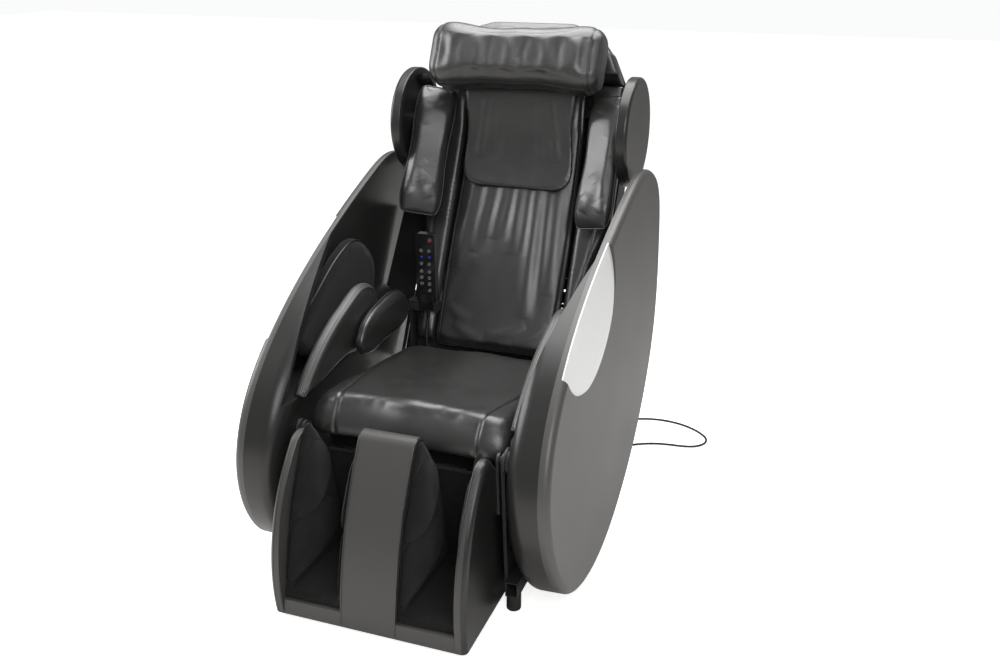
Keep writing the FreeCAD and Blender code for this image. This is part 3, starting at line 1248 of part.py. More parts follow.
def coil_point(turns):
    """A place on the coil's line: inwards on the floor, then back outwards on top."""
    inwards = min(turns, COIL_FOLD)
    outwards = max(turns - COIL_FOLD, 0.0)
    radius = COIL_R - COIL_PITCH * inwards + COIL_PITCH * outwards
    climb = (turns - COIL_FOLD) / COIL_CLIMB + 0.5
    climb = min(max(climb, 0.0), 1.0)
    height = CORD_FLOOR_Z + COIL_LAYER * (1 - math.cos(math.pi * climb)) / 2
    angle = -math.pi / 2 - 2 * math.pi * turns
    return V(COIL_CENTRE[0] + radius * math.cos(angle), COIL_CENTRE[1] + radius * math.sin(angle), height)


def biarc(start, start_way, end, end_way):
    """Two tangent arcs from start to end with the given unit directions."""
    across = end - start
    both = start_way + end_way
    bend = 2 * (1 - start_way.dot(end_way))
    slant = across.dot(both)
    reach = (math.sqrt(slant * slant + bend * across.dot(across)) - slant) / bend
    first = start + start_way * reach
    second = end - end_way * reach
    joint = (first + second) * 0.5
    return [tangent_arc(start, start_way, joint).toShape(), tangent_arc(joint, second - first, end).toShape()]


def cord_coil():
    """The put-away length of the mains lead, wound into one flat coil of two layers."""
    quarter = 0.25
    count = int(COIL_TURNS / quarter)
    step = 0.001
    places = [coil_point(i * quarter) for i in range(count + 1)]
    ways = []
    for i in range(count + 1):
        way = coil_point(i * quarter + step) - coil_point(i * quarter - step)
        ways.append(way.normalize())
    ways[0] = V(-1, 0, 0)
    ways[-1] = V(-1, 0, 0)
    entry = places[0] - ways[0] * COIL_LEAD
    leave = places[-1] + ways[-1] * COIL_EXIT
    edges = [Part.LineSegment(entry, places[0]).toShape()]
    for i in range(count):
        edges += biarc(places[i], ways[i], places[i + 1], ways[i + 1])
    edges.append(Part.LineSegment(places[-1], leave).toShape())
    path = Part.Wire(edges)
    samples = 120 * COIL_TURNS
    line = [coil_point(COIL_TURNS * i / samples) for i in range(samples + 1)]
    gap = min(line[i].distanceToPoint(line[k]) for i in range(samples) for k in range(i + 60, samples + 1))
    coil = tube_along(path, entry, ways[0], CORD_D)
    volume = math.pi * (CORD_D / 2) ** 2 * path.Length
    print("cord_coil length", round(path.Length), "least gap", round(gap - CORD_D, 2),
          "volume ratio", round(coil.Volume / volume, 4))
    return coil


def mains_plug():
    """Two-pin plug that lies on the floor beside the coil, with its strain relief."""
    x = coil_point(COIL_TURNS).x - COIL_EXIT
    y = coil_point(COIL_TURNS).y
    z = CORD_FLOOR_Z + COIL_LAYER
    relief = Part.makeCone(CORD_D / 2 + 1.0, 6.5, 20.0, V(x + 9, y, z), V(-1, 0, 0))
    sections = []
    for back, width, tall in ((10.0, 16.0, 15.0), (15.0, PLUG_W, PLUG_H), (15.0 + PLUG_L * 0.6, PLUG_W, PLUG_H),
                              (15.0 + PLUG_L, PLUG_W - 3, PLUG_H - 3)):
        half = tall / 2
        sections.append(rounded_section("x", x - back, (y - width / 2, y + width / 2), (z - half, z + half), 5.0))
    body = loft(sections, True)
    tip = x - 15.0 - PLUG_L
    blades = [box((tip - 17.0, tip + 4.0), (y + side * 6.35 - 0.8, y + side * 6.35 + 0.8), (z - 3.2, z + 3.2))
              for side in (-1, 1)]
    whole = relief.fuse(body)
    for blade in blades:
        whole = whole.fuse(blade)
    return whole.cut(rod(V(x, y, z), V(x + 12, y, z), CORD_D / 2))


MAINS_ROUTE = (
    (136, 352, 104), (136, 384, 104), (137, 416, 97), (140, 444, 78), (146, 468, 48),
    (154, 490, 20), (168, 514, 6), (192, 544, 3.4), (224, 580, 3.4), (262, 618, 3.4),
    (306, 654, 3.4), (356, 674, 3.4), (410, 678, 3.4), (464, 666, 3.4), (512, 638, 3.4),
    (548, 600, 3.4), (550, 560, 3.4), (524, 530, 3.4), (484, 520, 3.4), (442, 518, 3.4),
    (396, 508, 3.4), (352, 486, 3.4), (320, 460, 3.4), (290, 444, 3.4), (262, 444, 3.4),
)
SET_CORD_ROUTE = (
    (-196.5, 201, 457), (-196.5, 201, 442), (-196, 186, 416), (-192, 174, 382), (-184, 169, 342),
    (-176, 169, 298), (-164, 173, 252), (-146, 180, 210), (-126, 188, 176), (-118, 192, 152),
    (-118, 193, 137),
)


def build():
    """Make every node."""
    pair("side_panel", lean(side_panel()))
    pair("panel_inset", lean(panel_inset()))
    save("left_inner_trim", inner_trim(1))
    save("right_inner_trim", inner_trim(-1))
    pair("arm_pad", arm_pad())
    pair("hip_pad", hip_pad())
    pair("forearm_pad", forearm_pad())
    save("base_frame", base_frame())
    save("base_feet", base_feet())
    save("left_wheel", wheel(1))
    save("right_wheel", wheel(-1))
    save("seat_cushion", seat_cushion())
    save("control_box", control_box())
    save("air_pump", air_pump())
    save("leg_motor", leg_motor())
    save("power_inlet", power_inlet())
    save("power_switch", power_switch())
    save("back_frame", back_frame())
    save("back_shell", back_shell())
    save("back_cushion", back_cushion())
    pair("back_bolster", back_bolster())
    save("head_pad", head_pad())
    pair("shoulder_shell", shoulder_shell())
    pair("shoulder_pad", shoulder_pad())
    save("head_pillow", head_pillow())
    save("pillow_flap", pillow_flap())
    save("lead_screw", lead_screw())
    save("massage_carriage", massage_carriage())
    for side, hand in ((1, "left"), (-1, "right")):
        save(hand + "_massage_arm", massage_arm(side))
        for up, level in ((1, "upper"), (-1, "lower")):
            save(f"{hand}_{level}_roller", massage_roller(side, up))
    save("recline_actuator", recline_actuator())
    save("recline_rod", recline_rod())
    save("leg_rest_shell", leg_rest_shell())
    save("leg_rest_frame", leg_rest_frame())
    pair("calf_liner", calf_liner())
    save("handset_case", handset_case())
    for name, keys in key_layout().items():
        save(name, handset_keys(keys))
    save("handset_cord", cord_tube("handset_cord", SET_CORD_ROUTE, SET_CORD_D))
    save("mains_cord", cord_tube("mains_cord", MAINS_ROUTE, CORD_D))
    save("cord_coil", cord_coil())
    save("mains_plug", mains_plug())


build()
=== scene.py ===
"""The looks of a massage chair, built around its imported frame.

Metres, +Z up, the sitter faces -Y and the sitter's left hand is at +X.
"""
import logging
from dataclasses import dataclass, field
from enum import Enum
from math import cos, pi, radians, sin
from typing import Callable, Sequence

import bmesh
import bpy
import numpy as np
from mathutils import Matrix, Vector
from mathutils.bvhtree import BVHTree


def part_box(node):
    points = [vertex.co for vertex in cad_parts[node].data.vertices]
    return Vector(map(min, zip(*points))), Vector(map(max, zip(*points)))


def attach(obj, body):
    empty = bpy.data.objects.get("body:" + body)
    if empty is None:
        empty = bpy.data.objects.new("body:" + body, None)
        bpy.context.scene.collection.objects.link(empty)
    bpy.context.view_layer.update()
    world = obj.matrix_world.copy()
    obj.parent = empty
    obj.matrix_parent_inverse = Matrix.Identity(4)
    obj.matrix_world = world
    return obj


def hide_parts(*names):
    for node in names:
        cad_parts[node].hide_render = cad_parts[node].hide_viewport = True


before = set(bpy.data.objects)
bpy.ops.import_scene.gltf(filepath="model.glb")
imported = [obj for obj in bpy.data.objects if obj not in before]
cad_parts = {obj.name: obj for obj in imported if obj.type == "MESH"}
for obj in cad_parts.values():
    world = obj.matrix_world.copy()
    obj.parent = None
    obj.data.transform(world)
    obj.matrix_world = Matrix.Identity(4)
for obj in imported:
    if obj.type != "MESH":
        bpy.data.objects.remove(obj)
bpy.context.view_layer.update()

Array = np.ndarray
Places = Sequence[Sequence[float]]
Piece = bpy.types.Object
Socket = bpy.types.NodeSocket
Material = bpy.types.Material

LOG = logging.getLogger("massage_chair")
CLOTH_FRAMES = 20
CLOTH_PRESSURE = 4.0
# The radius of a cord's control points, small so that the curve's bound box stays close to the cord.
POINT_RADIUS = 0.005
SHEET_THICKNESS = 0.001
MERGE_DISTANCE = 1e-5
TINY = 1e-12
# Places along a seam, a fold and a shoulder crease, and half the width of a seam's groove.
SEAM_STEP = 0.006
FOLD_STEP = 0.02
CREASE_STEP = 0.015
SEAM_HALF_WIDTH = 0.0042


class Side(Enum):
    """The sitter's side that a piece belongs to, with its sign along X."""

    LEFT = 1
    RIGHT = -1

    @property
    def word(self) -> str:
        """The word that the frame's node names use."""
        return self.name.lower()


class Body(Enum):
    """The bodies of the frame that soft and trim pieces ride on."""

    BASE = "base"
    BACK = "back"
    LEG_REST = "leg_rest"


# Materials


class Shader:
    """A material whose nodes are added one by one on the piece's own coordinates."""

    def __init__(self, name: str, colour: Sequence[float], roughness: float) -> None:
        """Start a Principled surface.

        Args:
            name: The material's name.
            colour: Linear base colour.
            roughness: Roughness where nothing else drives it.
        """
        self.material = bpy.data.materials.new(name)
        self.material.use_nodes = True
        self.tree = self.material.node_tree
        self.tree.nodes.clear()
        self.output = self.add("ShaderNodeOutputMaterial")
        self.surface = self.add("ShaderNodeBsdfPrincipled")
        self.link(self.surface.outputs["BSDF"], self.output.inputs["Surface"])
        self.surface.inputs["Base Color"].default_value = (*colour, 1.0)
        self.surface.inputs["Roughness"].default_value = roughness
        self.place = self.add("ShaderNodeTexCoord").outputs["Object"]
        self.height = None

    def add(self, kind: str, **settings: object) -> bpy.types.Node:
        """Add a node.

        Args:
            kind: The node's type.
            settings: Its plain properties.

        Returns:
            The node.
        """
        node = self.tree.nodes.new(kind)
        for key, value in settings.items():
            setattr(node, key, value)
        return node

    def link(self, start: Socket, end: Socket) -> None:
        """Join two sockets."""
        self.tree.links.new(start, end)

    def set(self, **values: float) -> "Shader":
        """Set the surface's own sockets.

        Args:
            values: Values by socket name, with _ for a space.

        Returns:
            This shader.
        """
        for key, value in values.items():
            self.surface.inputs[key.replace("_", " ")].default_value = value
        return self

    def noise(self, scale: float, detail: float = 3.0, stretch: Sequence[float] = (1, 1, 1)) -> Socket:
        """Noise on the piece's coordinates.

        Args:
            scale: Cells per metre.
            detail: Octaves.
            stretch: Factor on each axis.

        Returns:
            The noise value's socket.
        """
        mapping = self.add("ShaderNodeMapping")
        mapping.inputs["Scale"].default_value = stretch
        self.link(self.place, mapping.inputs["Vector"])
        node = self.add("ShaderNodeTexNoise")
        node.inputs["Scale"].default_value = scale
        node.inputs["Detail"].default_value = detail
        self.link(mapping.outputs[0], node.inputs["Vector"])
        return node.outputs["Fac"]

    def cells(self, scale: float) -> Socket:
        """The pebbles of grained leather: distance to the nearest cell edge of a Voronoi pattern.

        Args:
            scale: Cells per metre.

        Returns:
            The distance's socket.
        """
        node = self.add("ShaderNodeTexVoronoi", feature="DISTANCE_TO_EDGE")
        node.inputs["Scale"].default_value = scale
        self.link(self.place, node.inputs["Vector"])
        return node.outputs["Distance"]

    def ramp(self, value: Socket, low: float, high: float) -> Socket:
        """Map a value: low + (high - low) * value.

        Args:
            value: A socket from 0 to 1.
            low: The result at 0.
            high: The result at 1.

        Returns:
            The result's socket.
        """
        node = self.add("ShaderNodeMapRange")
        node.inputs["To Min"].default_value = low
        node.inputs["To Max"].default_value = high
        self.link(value, node.inputs["Value"])
        return node.outputs["Result"]

    def blend_colour(self, value: Socket, first: Sequence[float], second: Sequence[float]) -> None:
        """Drive the base colour between two colours.

        Args:
            value: A socket from 0 to 1.
            first: Linear colour at 0.
            second: Linear colour at 1.
        """
        node = self.add("ShaderNodeMix", data_type="RGBA")
        node.inputs["A"].default_value = (*first, 1.0)
        node.inputs["B"].default_value = (*second, 1.0)
        self.link(value, node.inputs[0])
        result = next(socket for socket in node.outputs if socket.type == "RGBA")
        self.link(result, self.surface.inputs["Base Color"])

    def rough_from(self, value: Socket, low: float, high: float) -> None:
        """Drive roughness from a value."""
        self.link(self.ramp(value, low, high), self.surface.inputs["Roughness"])

    def bump(self, value: Socket, strength: float, distance: float) -> None:
        """Stack one more relief on the surface's normal.

        Args:
            value: The relief's height, from 0 to 1.
            strength: How much of it shows.
            distance: Its depth in metres.
        """
        node = self.add("ShaderNodeBump")
        node.inputs["Strength"].default_value = strength
        node.inputs["Distance"].default_value = distance
        self.link(value, node.inputs["Height"])
        if self.height is not None:
            self.link(self.height, node.inputs["Normal"])
        self.height = node.outputs["Normal"]
        self.link(self.height, self.surface.inputs["Normal"])

    def beyond(self, axis: str, limit: float) -> Socket:
        """One where the distance from the middle plane along an axis passes a limit, else zero.

        Args:
            axis: X, Y or Z.
            limit: The distance in metres.

        Returns:
            The test's socket.
        """
        split = self.add("ShaderNodeSeparateXYZ")
        self.link(self.place, split.inputs[0])
        size = self.add("ShaderNodeMath", operation="ABSOLUTE")
        self.link(split.outputs[axis], size.inputs[0])
        test = self.add("ShaderNodeMath", operation="GREATER_THAN")
        self.link(size.outputs[0], test.inputs[0])
        test.inputs[1].default_value = limit
        return test.outputs[0]


def shade(value: float) -> tuple[float, float, float]:
    """A neutral grey of that linear value, a touch warm."""
    return (value * 1.03, value, value * 0.97)


@dataclass(frozen=True)
class Leather:
    """Coated leather: pebbled grain, fine pores, slack dents and uneven polish."""

    name: str
    tone: float
    rough: float
    grain: float = 620.0

    def material(self) -> Material:
        """Clouds of 0.75 to 1.35 of the tone, and relief of dents, creases, pebbles and pores added up.

        Returns:
            The material.
        """
        look = Shader(self.name, shade(self.tone), self.rough)
        look.blend_colour(look.noise(9.0, 4.0), shade(self.tone * 0.75), shade(self.tone * 1.35))
        look.rough_from(look.noise(26.0, 4.0), self.rough - 0.07, self.rough + 0.1)
        look.bump(look.noise(16.0, 2.0), 0.22, 0.004)
        look.bump(look.noise(70.0, 3.0), 0.10, 0.0012)
        look.bump(look.cells(self.grain), 0.35, 0.0005)
        look.bump(look.noise(self.grain * 4, 2.0), 0.12, 0.0002)
        look.set(Specular_IOR_Level=0.85, Coat_Weight=0.2, Coat_Roughness=0.3)
        return look.material


@dataclass(frozen=True)
class MetallicPaint:
    """Satin metallic paint: fine flakes, faint cloudiness and an orange-peel skin."""

    name: str
    tone: float
    rough: float
    metallic: float

    def material(self) -> Material:
        """Flakes of 0.7 to 1.35 of the tone, and a shallow noise relief under a thin coat.

        Returns:
            The material.
        """
        look = Shader(self.name, shade(self.tone), self.rough)
        look.blend_colour(look.noise(2600.0, 2.0), shade(self.tone * 0.7), shade(self.tone * 1.35))
        look.rough_from(look.noise(5.0, 3.0), self.rough - 0.04, self.rough + 0.05)
        look.bump(look.noise(380.0, 2.0), 0.05, 0.0004)
        look.set(Metallic=self.metallic, Coat_Weight=0.12, Coat_Roughness=0.28)
        return look.material


@dataclass(frozen=True)
class GlossPlastic:
    """Glossy moulding with a faint flow ripple."""

    name: str
    colour: tuple[float, float, float]
    rough: float

    def material(self) -> Material:
        """The colour and 0.93 of it in slow clouds, under a clear coat.

        Returns:
            The material.
        """
        look = Shader(self.name, self.colour, self.rough)
        look.blend_colour(look.noise(7.0, 3.0), self.colour, [channel * 0.93 for channel in self.colour])
        look.rough_from(look.noise(40.0, 3.0), self.rough, self.rough + 0.06)
        look.bump(look.noise(12.0, 1.0), 0.05, 0.002)
        look.set(Coat_Weight=0.35, Coat_Roughness=0.08)
        return look.material


@dataclass(frozen=True)
class GrainedPlastic:
    """Moulded plastic or rubber with a spark-eroded grain."""

    name: str
    colour: tuple[float, float, float]
    rough: float

    def material(self) -> Material:
        """The colour and 1.3 of it in clouds, with a fine noise relief.

        Returns:
            The material.
        """
        look = Shader(self.name, self.colour, self.rough)
        look.blend_colour(look.noise(18.0, 4.0), self.colour, [channel * 1.3 for channel in self.colour])
        look.rough_from(look.noise(60.0, 2.0), self.rough - 0.05, self.rough + 0.08)
        look.bump(look.noise(1500.0, 2.0), 0.25, 0.0003)
        return look.material


@dataclass(frozen=True)
class Knit:
    """Knitted cloth: two crossed ribs, soft fuzz and pale sheen at grazing angles."""

    name: str
    tone: float
    rough: float = 0.92
    ribs: tuple[tuple[str, float], ...] = (("X", 420.0), ("Z", 380.0))

    def material(self) -> Material:
        """Clouds of 0.6 to 1.6 of the tone, and relief of one wave across each rib direction.

        Returns:
            The material.
        """
        look = Shader(self.name, shade(self.tone), self.rough)
        look.blend_colour(look.noise(40.0, 5.0), shade(self.tone * 0.6), shade(self.tone * 1.6))
        for direction, scale in self.ribs:
            wave = look.add("ShaderNodeTexWave", bands_direction=direction)
            wave.inputs["Scale"].default_value = scale
            wave.inputs["Distortion"].default_value = 0.6
            look.link(look.place, wave.inputs["Vector"])
            look.bump(wave.outputs["Fac"], 0.3, 0.0005)
        look.bump(look.noise(28.0, 3.0), 0.2, 0.003)
        look.set(Sheen_Weight=0.08, Sheen_Roughness=0.5, Specular_IOR_Level=0.2)
        return look.material


@dataclass(frozen=True)
class BareMetal:
    """Bare metal with turning or brushing marks along one axis."""

    name: str
    tone: float
    rough: float
    stretch: tuple[float, float, float]

    def material(self) -> Material:
        """Clouds of 0.8 to 1 of the tone, and a noise relief drawn out along an axis.

        Returns:
            The material.
        """
        look = Shader(self.name, shade(self.tone), self.rough)
        look.blend_colour(look.noise(30.0, 4.0), shade(self.tone * 0.8), shade(self.tone))
        look.rough_from(look.noise(50.0, 3.0), self.rough - 0.08, self.rough + 0.12)
        look.bump(look.noise(260.0, 3.0, self.stretch), 0.2, 0.0003)
        look.set(Metallic=1.0)
        return look.material


@dataclass(frozen=True)
class WheelPlastic:
    """Hard wheel: fine grain, dusty in patches."""

    tone: float = 0.03
    rough: float = 0.6

    def material(self) -> Material:
        """Clouds of 0.6 to 2.5 of the tone, with a fine noise relief.

        Returns:
            The material.
        """
        look = Shader("wheel_tyre", shade(self.tone), self.rough)
        look.blend_colour(look.noise(55.0, 5.0), shade(self.tone * 0.6), shade(self.tone * 2.5))
        look.rough_from(look.noise(90.0, 3.0), 0.5, 0.75)
        look.bump(look.noise(700.0, 3.0), 0.3, 0.0004)
        return look.material


@dataclass(frozen=True)
class LegRestSkin:
    """Grey grained cover of the leg rest, with black leather past half its width on both sides."""

    half: float = 0.2245
    grey: tuple[float, float] = (0.052, 0.42)
    black: tuple[float, float] = (0.014, 0.30)

    def material(self) -> Material:
        """Tone and roughness step from grey to black where |x| passes the half width.

        Returns:
            The material.
        """
        look = Shader("leg_rest_cover", shade(self.grey[0]), self.grey[1])
        look.blend_colour(look.beyond("X", self.half), shade(self.grey[0]), shade(self.black[0]))
        look.rough_from(look.beyond("X", self.half), self.grey[1], self.black[1])
        look.bump(look.noise(20.0, 2.0), 0.15, 0.003)
        look.bump(look.cells(680.0), 0.3, 0.0004)
        look.set(Specular_IOR_Level=0.5, Coat_Weight=0.05, Coat_Roughness=0.3)
        return look.material


class Palette:
    """Every finish of the chair, made once."""

    def __init__(self) -> None:
        """Make the materials."""
        self.leather = Leather("black_leather", 0.02, 0.33).material()
        self.band = Leather("grey_band_leather", 0.055, 0.4, 700.0).material()
        self.piping = Leather("piping_leather", 0.012, 0.3, 900.0).material()
        self.cloth = Knit("black_knit", 0.007).material()
        self.paint = MetallicPaint("graphite_paint", 0.088, 0.42, 0.35).material()
        # The trim is the panel's graphite paint at under a third of its tone and glossier: the extra darkness is
        # painted shade for the inner sides of the housings.
        self.trim = MetallicPaint("graphite_trim", 0.026, 0.3, 0.3).material()
        self.white = GlossPlastic("white_leaf", (0.82, 0.83, 0.82), 0.12).material()
        self.gloss = GlossPlastic("black_gloss", (0.012, 0.012, 0.013), 0.16).material()
        self.print_white = GlossPlastic("key_print", (0.55, 0.56, 0.58), 0.4).material()
        self.print_red = GlossPlastic("power_ring", (0.6, 0.03, 0.03), 0.35).material()
        self.print_blue = GlossPlastic("lamp_blue", (0.03, 0.05, 0.55), 0.25).material()
        self.plastic = GrainedPlastic("black_plastic", (0.02, 0.02, 0.021), 0.5).material()
        self.key = GrainedPlastic("key_rubber", (0.028, 0.028, 0.03), 0.55).material()
        self.roller = GrainedPlastic("roller_plastic", (0.62, 0.6, 0.54), 0.45).material()
        self.steel = GrainedPlastic("powder_coat", (0.022, 0.022, 0.024), 0.42).material()
        self.rubber = GrainedPlastic("black_rubber", (0.014, 0.014, 0.014), 0.7).material()
        self.thread = GrainedPlastic("sewing_thread", (0.075, 0.075, 0.078), 0.6).material()
        self.bright = BareMetal("bright_steel", 0.62, 0.28, (1, 8, 1)).material()
        self.cast = BareMetal("cast_aluminium", 0.46, 0.5, (1, 1, 1)).material()
        self.wheel = WheelPlastic().material()
        self.leg_rest = LegRestSkin().material()


# Geometry


def unit(vectors: Array) -> Array:
    """Vectors divided by their lengths."""
    length = np.linalg.norm(vectors, axis=-1, keepdims=True)
    return vectors / np.maximum(length, TINY)


def eased(share: Array) -> Array:
    """A share from 0 to 1 with a soft start and end: t^2 (3 - 2 t)."""
    return share * share * (3 - 2 * share)


def spread(*parts: Array) -> Array:
    """Three coordinates on one grid as (n, 3) places."""
    return np.stack(np.broadcast_arrays(*parts), -1).reshape(-1, 3)


def new_piece(name: str, points: Array, faces: Sequence[Sequence[int]], closed: bool = True) -> Piece:
    """Put points and faces into a new object at the origin.

    Args:
        name: The piece's name.
        points: (n, 3) places.
        faces: Indices of each face.
        closed: Whether faces are turned outwards as one closed skin.

    Returns:
        The object.
    """
    mesh = bpy.data.meshes.new(name)
    mesh.from_pydata(points.tolist(), [], [list(face) for face in faces])
    if closed:
        work = bmesh.new()
        work.from_mesh(mesh)
        bmesh.ops.recalc_face_normals(work, faces=work.faces)
        work.to_mesh(mesh)
        work.free()
    mesh.shade_smooth()
    piece = bpy.data.objects.new(name, mesh)
    bpy.context.scene.collection.objects.link(piece)
    return piece


def grid_faces(rows: int, columns: int, wrap_rows: bool, wrap_columns: bool) -> Array:
    """Quads of a grid.

    Args:
        rows: Points down the grid.
        columns: Points across it.
        wrap_rows: Whether the last row meets the first.
        wrap_columns: Whether the last column meets the first.

    Returns:
        (n, 4) indices.
    """
    i = np.arange(rows if wrap_rows else rows - 1)
    j = np.arange(columns if wrap_columns else columns - 1)
    i, j = np.meshgrid(i, j, indexing="ij")
    down = (i + 1) % rows
    right = (j + 1) % columns
    quads = np.stack([i * columns + j, i * columns + right, down * columns + right, down * columns + j], -1)
    return quads.reshape(-1, 4)


def tube_faces(rings: int, around: int) -> list[list[int]]:
    """Quads of a tube of rings, and one face over each of its ends."""
    ends = [list(range(around))[::-1], list(range((rings - 1) * around, rings * around))]
    return grid_faces(rings, around, False, True).tolist() + ends


def sweep(name: str, path: Array, up: Array, profile: Array, loop: bool = False) -> Piece:
    """Carry a closed profile along a path.

    Each ring is path + side * profile_x + up * profile_y, where side is square to the path and up.

    Args:
        name: The piece's name.
        path: (n, 3) places.
        up: (n, 3) directions away from the surface the path lies on.
        profile: (m, 2) closed outline.
        loop: Whether the path closes on itself.

    Returns:
        The object.
    """
    if loop:
        along = unit(np.roll(path, -1, axis=0) - np.roll(path, 1, axis=0))
    else:
        along = unit(np.gradient(path, axis=0))
    side = unit(np.cross(up, along))
    out = np.cross(along, side)
    rings = path[:, None] + side[:, None] * profile[None, :, :1] + out[:, None] * profile[None, :, 1:]
    count, around = rings.shape[:2]
    faces = grid_faces(count, around, True, True).tolist() if loop else tube_faces(count, around)
    return new_piece(name, rings.reshape(-1, 3), faces)


def circle(radius: float, sides: int = 10) -> Array:
    """A round profile."""
    angle = np.linspace(0, 2 * pi, sides, endpoint=False)
    return np.stack([np.cos(angle), np.sin(angle)], -1) * radius


def smooth_path(points: Places, step: float, loop: bool = False) -> Array:
    """A Catmull-Rom curve through points, read off at even steps.

    Args:
        points: The places it passes through.
        step: Distance between the places it returns.
        loop: Whether it closes on itself.

    Returns:
        (n, 3) places.
    """
    base = np.array(points, float)
    if loop:
        before, after = np.roll(base, 1, 0), np.roll(base, -1, 0)
        beyond = np.roll(base, -2, 0)
        first = base
    else:
        padded = np.vstack([2 * base[0] - base[1], base, 2 * base[-1] - base[-2]])
        before, first, after, beyond = padded[:-3], padded[1:-2], padded[2:-1], padded[3:]
    t = np.linspace(0, 1, 24, endpoint=False)[:, None, None]
    curve = 0.5 * (2 * first + (after - before) * t + (2 * before - 5 * first + 4 * after - beyond) * t**2
                   + (3 * first - before - 3 * after + beyond) * t**3)
    fine = curve.transpose(1, 0, 2).reshape(-1, 3)
    fine = np.vstack([fine, base[:1] if loop else base[-1:]])
    gone = np.concatenate([[0], np.cumsum(np.linalg.norm(np.diff(fine, axis=0), axis=1))])
    count = max(4, int(round(gone[-1] / step)))
    at = np.linspace(0, gone[-1], count + 1)
    if loop:
        at = at[:-1]
    return np.stack([np.interp(at, gone, fine[:, k]) for k in range(3)], -1)


def skin_of(piece: Piece) -> BVHTree:
    """A search tree of a piece's faces, as its modifiers leave them."""
    bpy.context.view_layer.update()
    return BVHTree.FromObject(piece, bpy.context.evaluated_depsgraph_get())


def laid_on(skin: BVHTree, path: Array, towards: Sequence[float] | None, reach: float = 0.2) -> tuple[Array, Array]:
    """Lay a path on a skin.

    Args:
        skin: The surface.
        path: Places near it.
        towards: Direction in which each place is pushed onto it, or None for the nearest place.
        reach: How far before the path the push starts.

    Returns:
        The places on the surface and the surface's directions outwards there.
    """
    places, normals = [], []
    for spot in path:
        if towards is None:
            hit = skin.find_nearest(Vector(spot))
        else:
            way = Vector(towards).normalized()
            hit = skin.ray_cast(Vector(spot) - way * reach, way, reach * 2)
            if hit[0] is None:
                hit = skin.find_nearest(Vector(spot))
        places.append(hit[0])
        normals.append(hit[1])
    return np.array(places), unit(np.array(normals))


def evened(values: Array, loop: bool, times: int = 2) -> Array:
    """Average values along a path: (before + 2 own + after) / 4, a few times.

    Args:
        values: (n, 3) places or directions.
        loop: Whether the path closes on itself.
        times: How often they are averaged.

    Returns:
        The averaged values.
    """
    for _ in range(times):
        if loop:
            values = (np.roll(values, 1, 0) + 2 * values + np.roll(values, -1, 0)) / 4
        else:
            inner = (values[:-2] + 2 * values[1:-1] + values[2:]) / 4
            values = np.vstack([values[:1], inner, values[-1:]])
    return values


def stitch_row(name: str, path: Array, up: Array, stitch: float = 0.0042, pitch: float = 0.0062,
               radius: float = 0.00045) -> Piece:
    """A row of thread stitches: short spindles, each lying along the path and sunk at its ends.

    Args:
        name: The piece's name.
        path: Places on the surface.
        up: Directions outwards.
        stitch: Length of a stitch.
        pitch: Distance from one stitch to the next.
        radius: Thickness of the thread.

    Returns:
        The object.
    """
    gone = np.concatenate([[0], np.cumsum(np.linalg.norm(np.diff(path, axis=0), axis=1))])
    at = np.arange(pitch / 2, gone[-1], pitch)
    centre = np.stack([np.interp(at, gone, path[:, k]) for k in range(3)], -1)
    way = unit(np.stack([np.interp(at, gone, np.gradient(path[:, k])) for k in range(3)], -1))
    out = unit(np.stack([np.interp(at, gone, up[:, k]) for k in range(3)], -1))
    side = np.cross(out, way)
    lengths = np.array([-0.5, -0.3, 0.3, 0.5]) * stitch
    widths = np.array([0.35, 1.0, 1.0, 0.35]) * radius
    sinks = np.array([-0.6, 0.3, 0.3, -0.6]) * radius
    angle = np.linspace(0, 2 * pi, 5, endpoint=False)
    round_part = side[:, None, None] * (widths[:, None] * np.cos(angle))[None, ..., None]
    round_part = round_part + out[:, None, None] * (widths[:, None] * np.sin(angle) + sinks[:, None])[None, ..., None]
    points = centre[:, None, None] + way[:, None, None] * lengths[None, :, None, None] + round_part
    rings, around = len(lengths), len(angle)
    faces = [[index + rings * around * k for index in face] for k in range(len(at))
             for face in tube_faces(rings, around)]
    return new_piece(name, points.reshape(-1, 3), faces)


def read_points(mesh: bpy.types.Mesh) -> Array:
    """The places of a mesh's points.

    Args:
        mesh: The mesh.

    Returns:
        (n, 3) places.
    """
    flat = np.empty(len(mesh.vertices) * 3)
    mesh.vertices.foreach_get("co", flat)
    return flat.reshape(-1, 3)


def read_normals(mesh: bpy.types.Mesh) -> Array:
    """The outward directions at a mesh's points.

    Args:
        mesh: The mesh.

    Returns:
        (n, 3) directions.
    """
    flat = np.empty(len(mesh.vertices) * 3)
    mesh.vertex_normals.foreach_get("vector", flat)
    return flat.reshape(-1, 3)


def write_points(piece: Piece, points: Array) -> None:
    """Move a mesh's points."""
    piece.data.vertices.foreach_set("co", points.ravel())
    piece.data.update()


def settle(piece: Piece) -> None:
    """Replace a piece's mesh by what its modifiers make of it.

    Args:
        piece: The piece.
    """
    bpy.context.view_layer.update()
    result = piece.evaluated_get(bpy.context.evaluated_depsgraph_get())
    mesh = bpy.data.meshes.new_from_object(result)
    piece.modifiers.clear()
    piece.data = mesh
    mesh.shade_smooth()


def away_from_line(points: Array, line: Array) -> tuple[Array, Array]:
    """How far points are from a line of straight runs.

    Args:
        points: (n, 3) places.
        line: (m, 3) corners of the line.

    Returns:
        Each point's distance from its nearest run, and how far along the line that is, from 0 to 1.
    """
    start, run = line[:-1], np.diff(line, axis=0)
    best = np.full(len(points), np.inf)
    share = np.zeros(len(points))
    for k, (origin, step) in enumerate(zip(start, run)):
        t = np.clip(((points - origin) @ step) / max(step @ step, TINY), 0, 1)
        gap = np.linalg.norm(points - origin - t[:, None] * step, axis=1)
        nearer = gap < best
        best = np.where(nearer, gap, best)
        share = np.where(nearer, (k + t) / len(run), share)
    return best, share


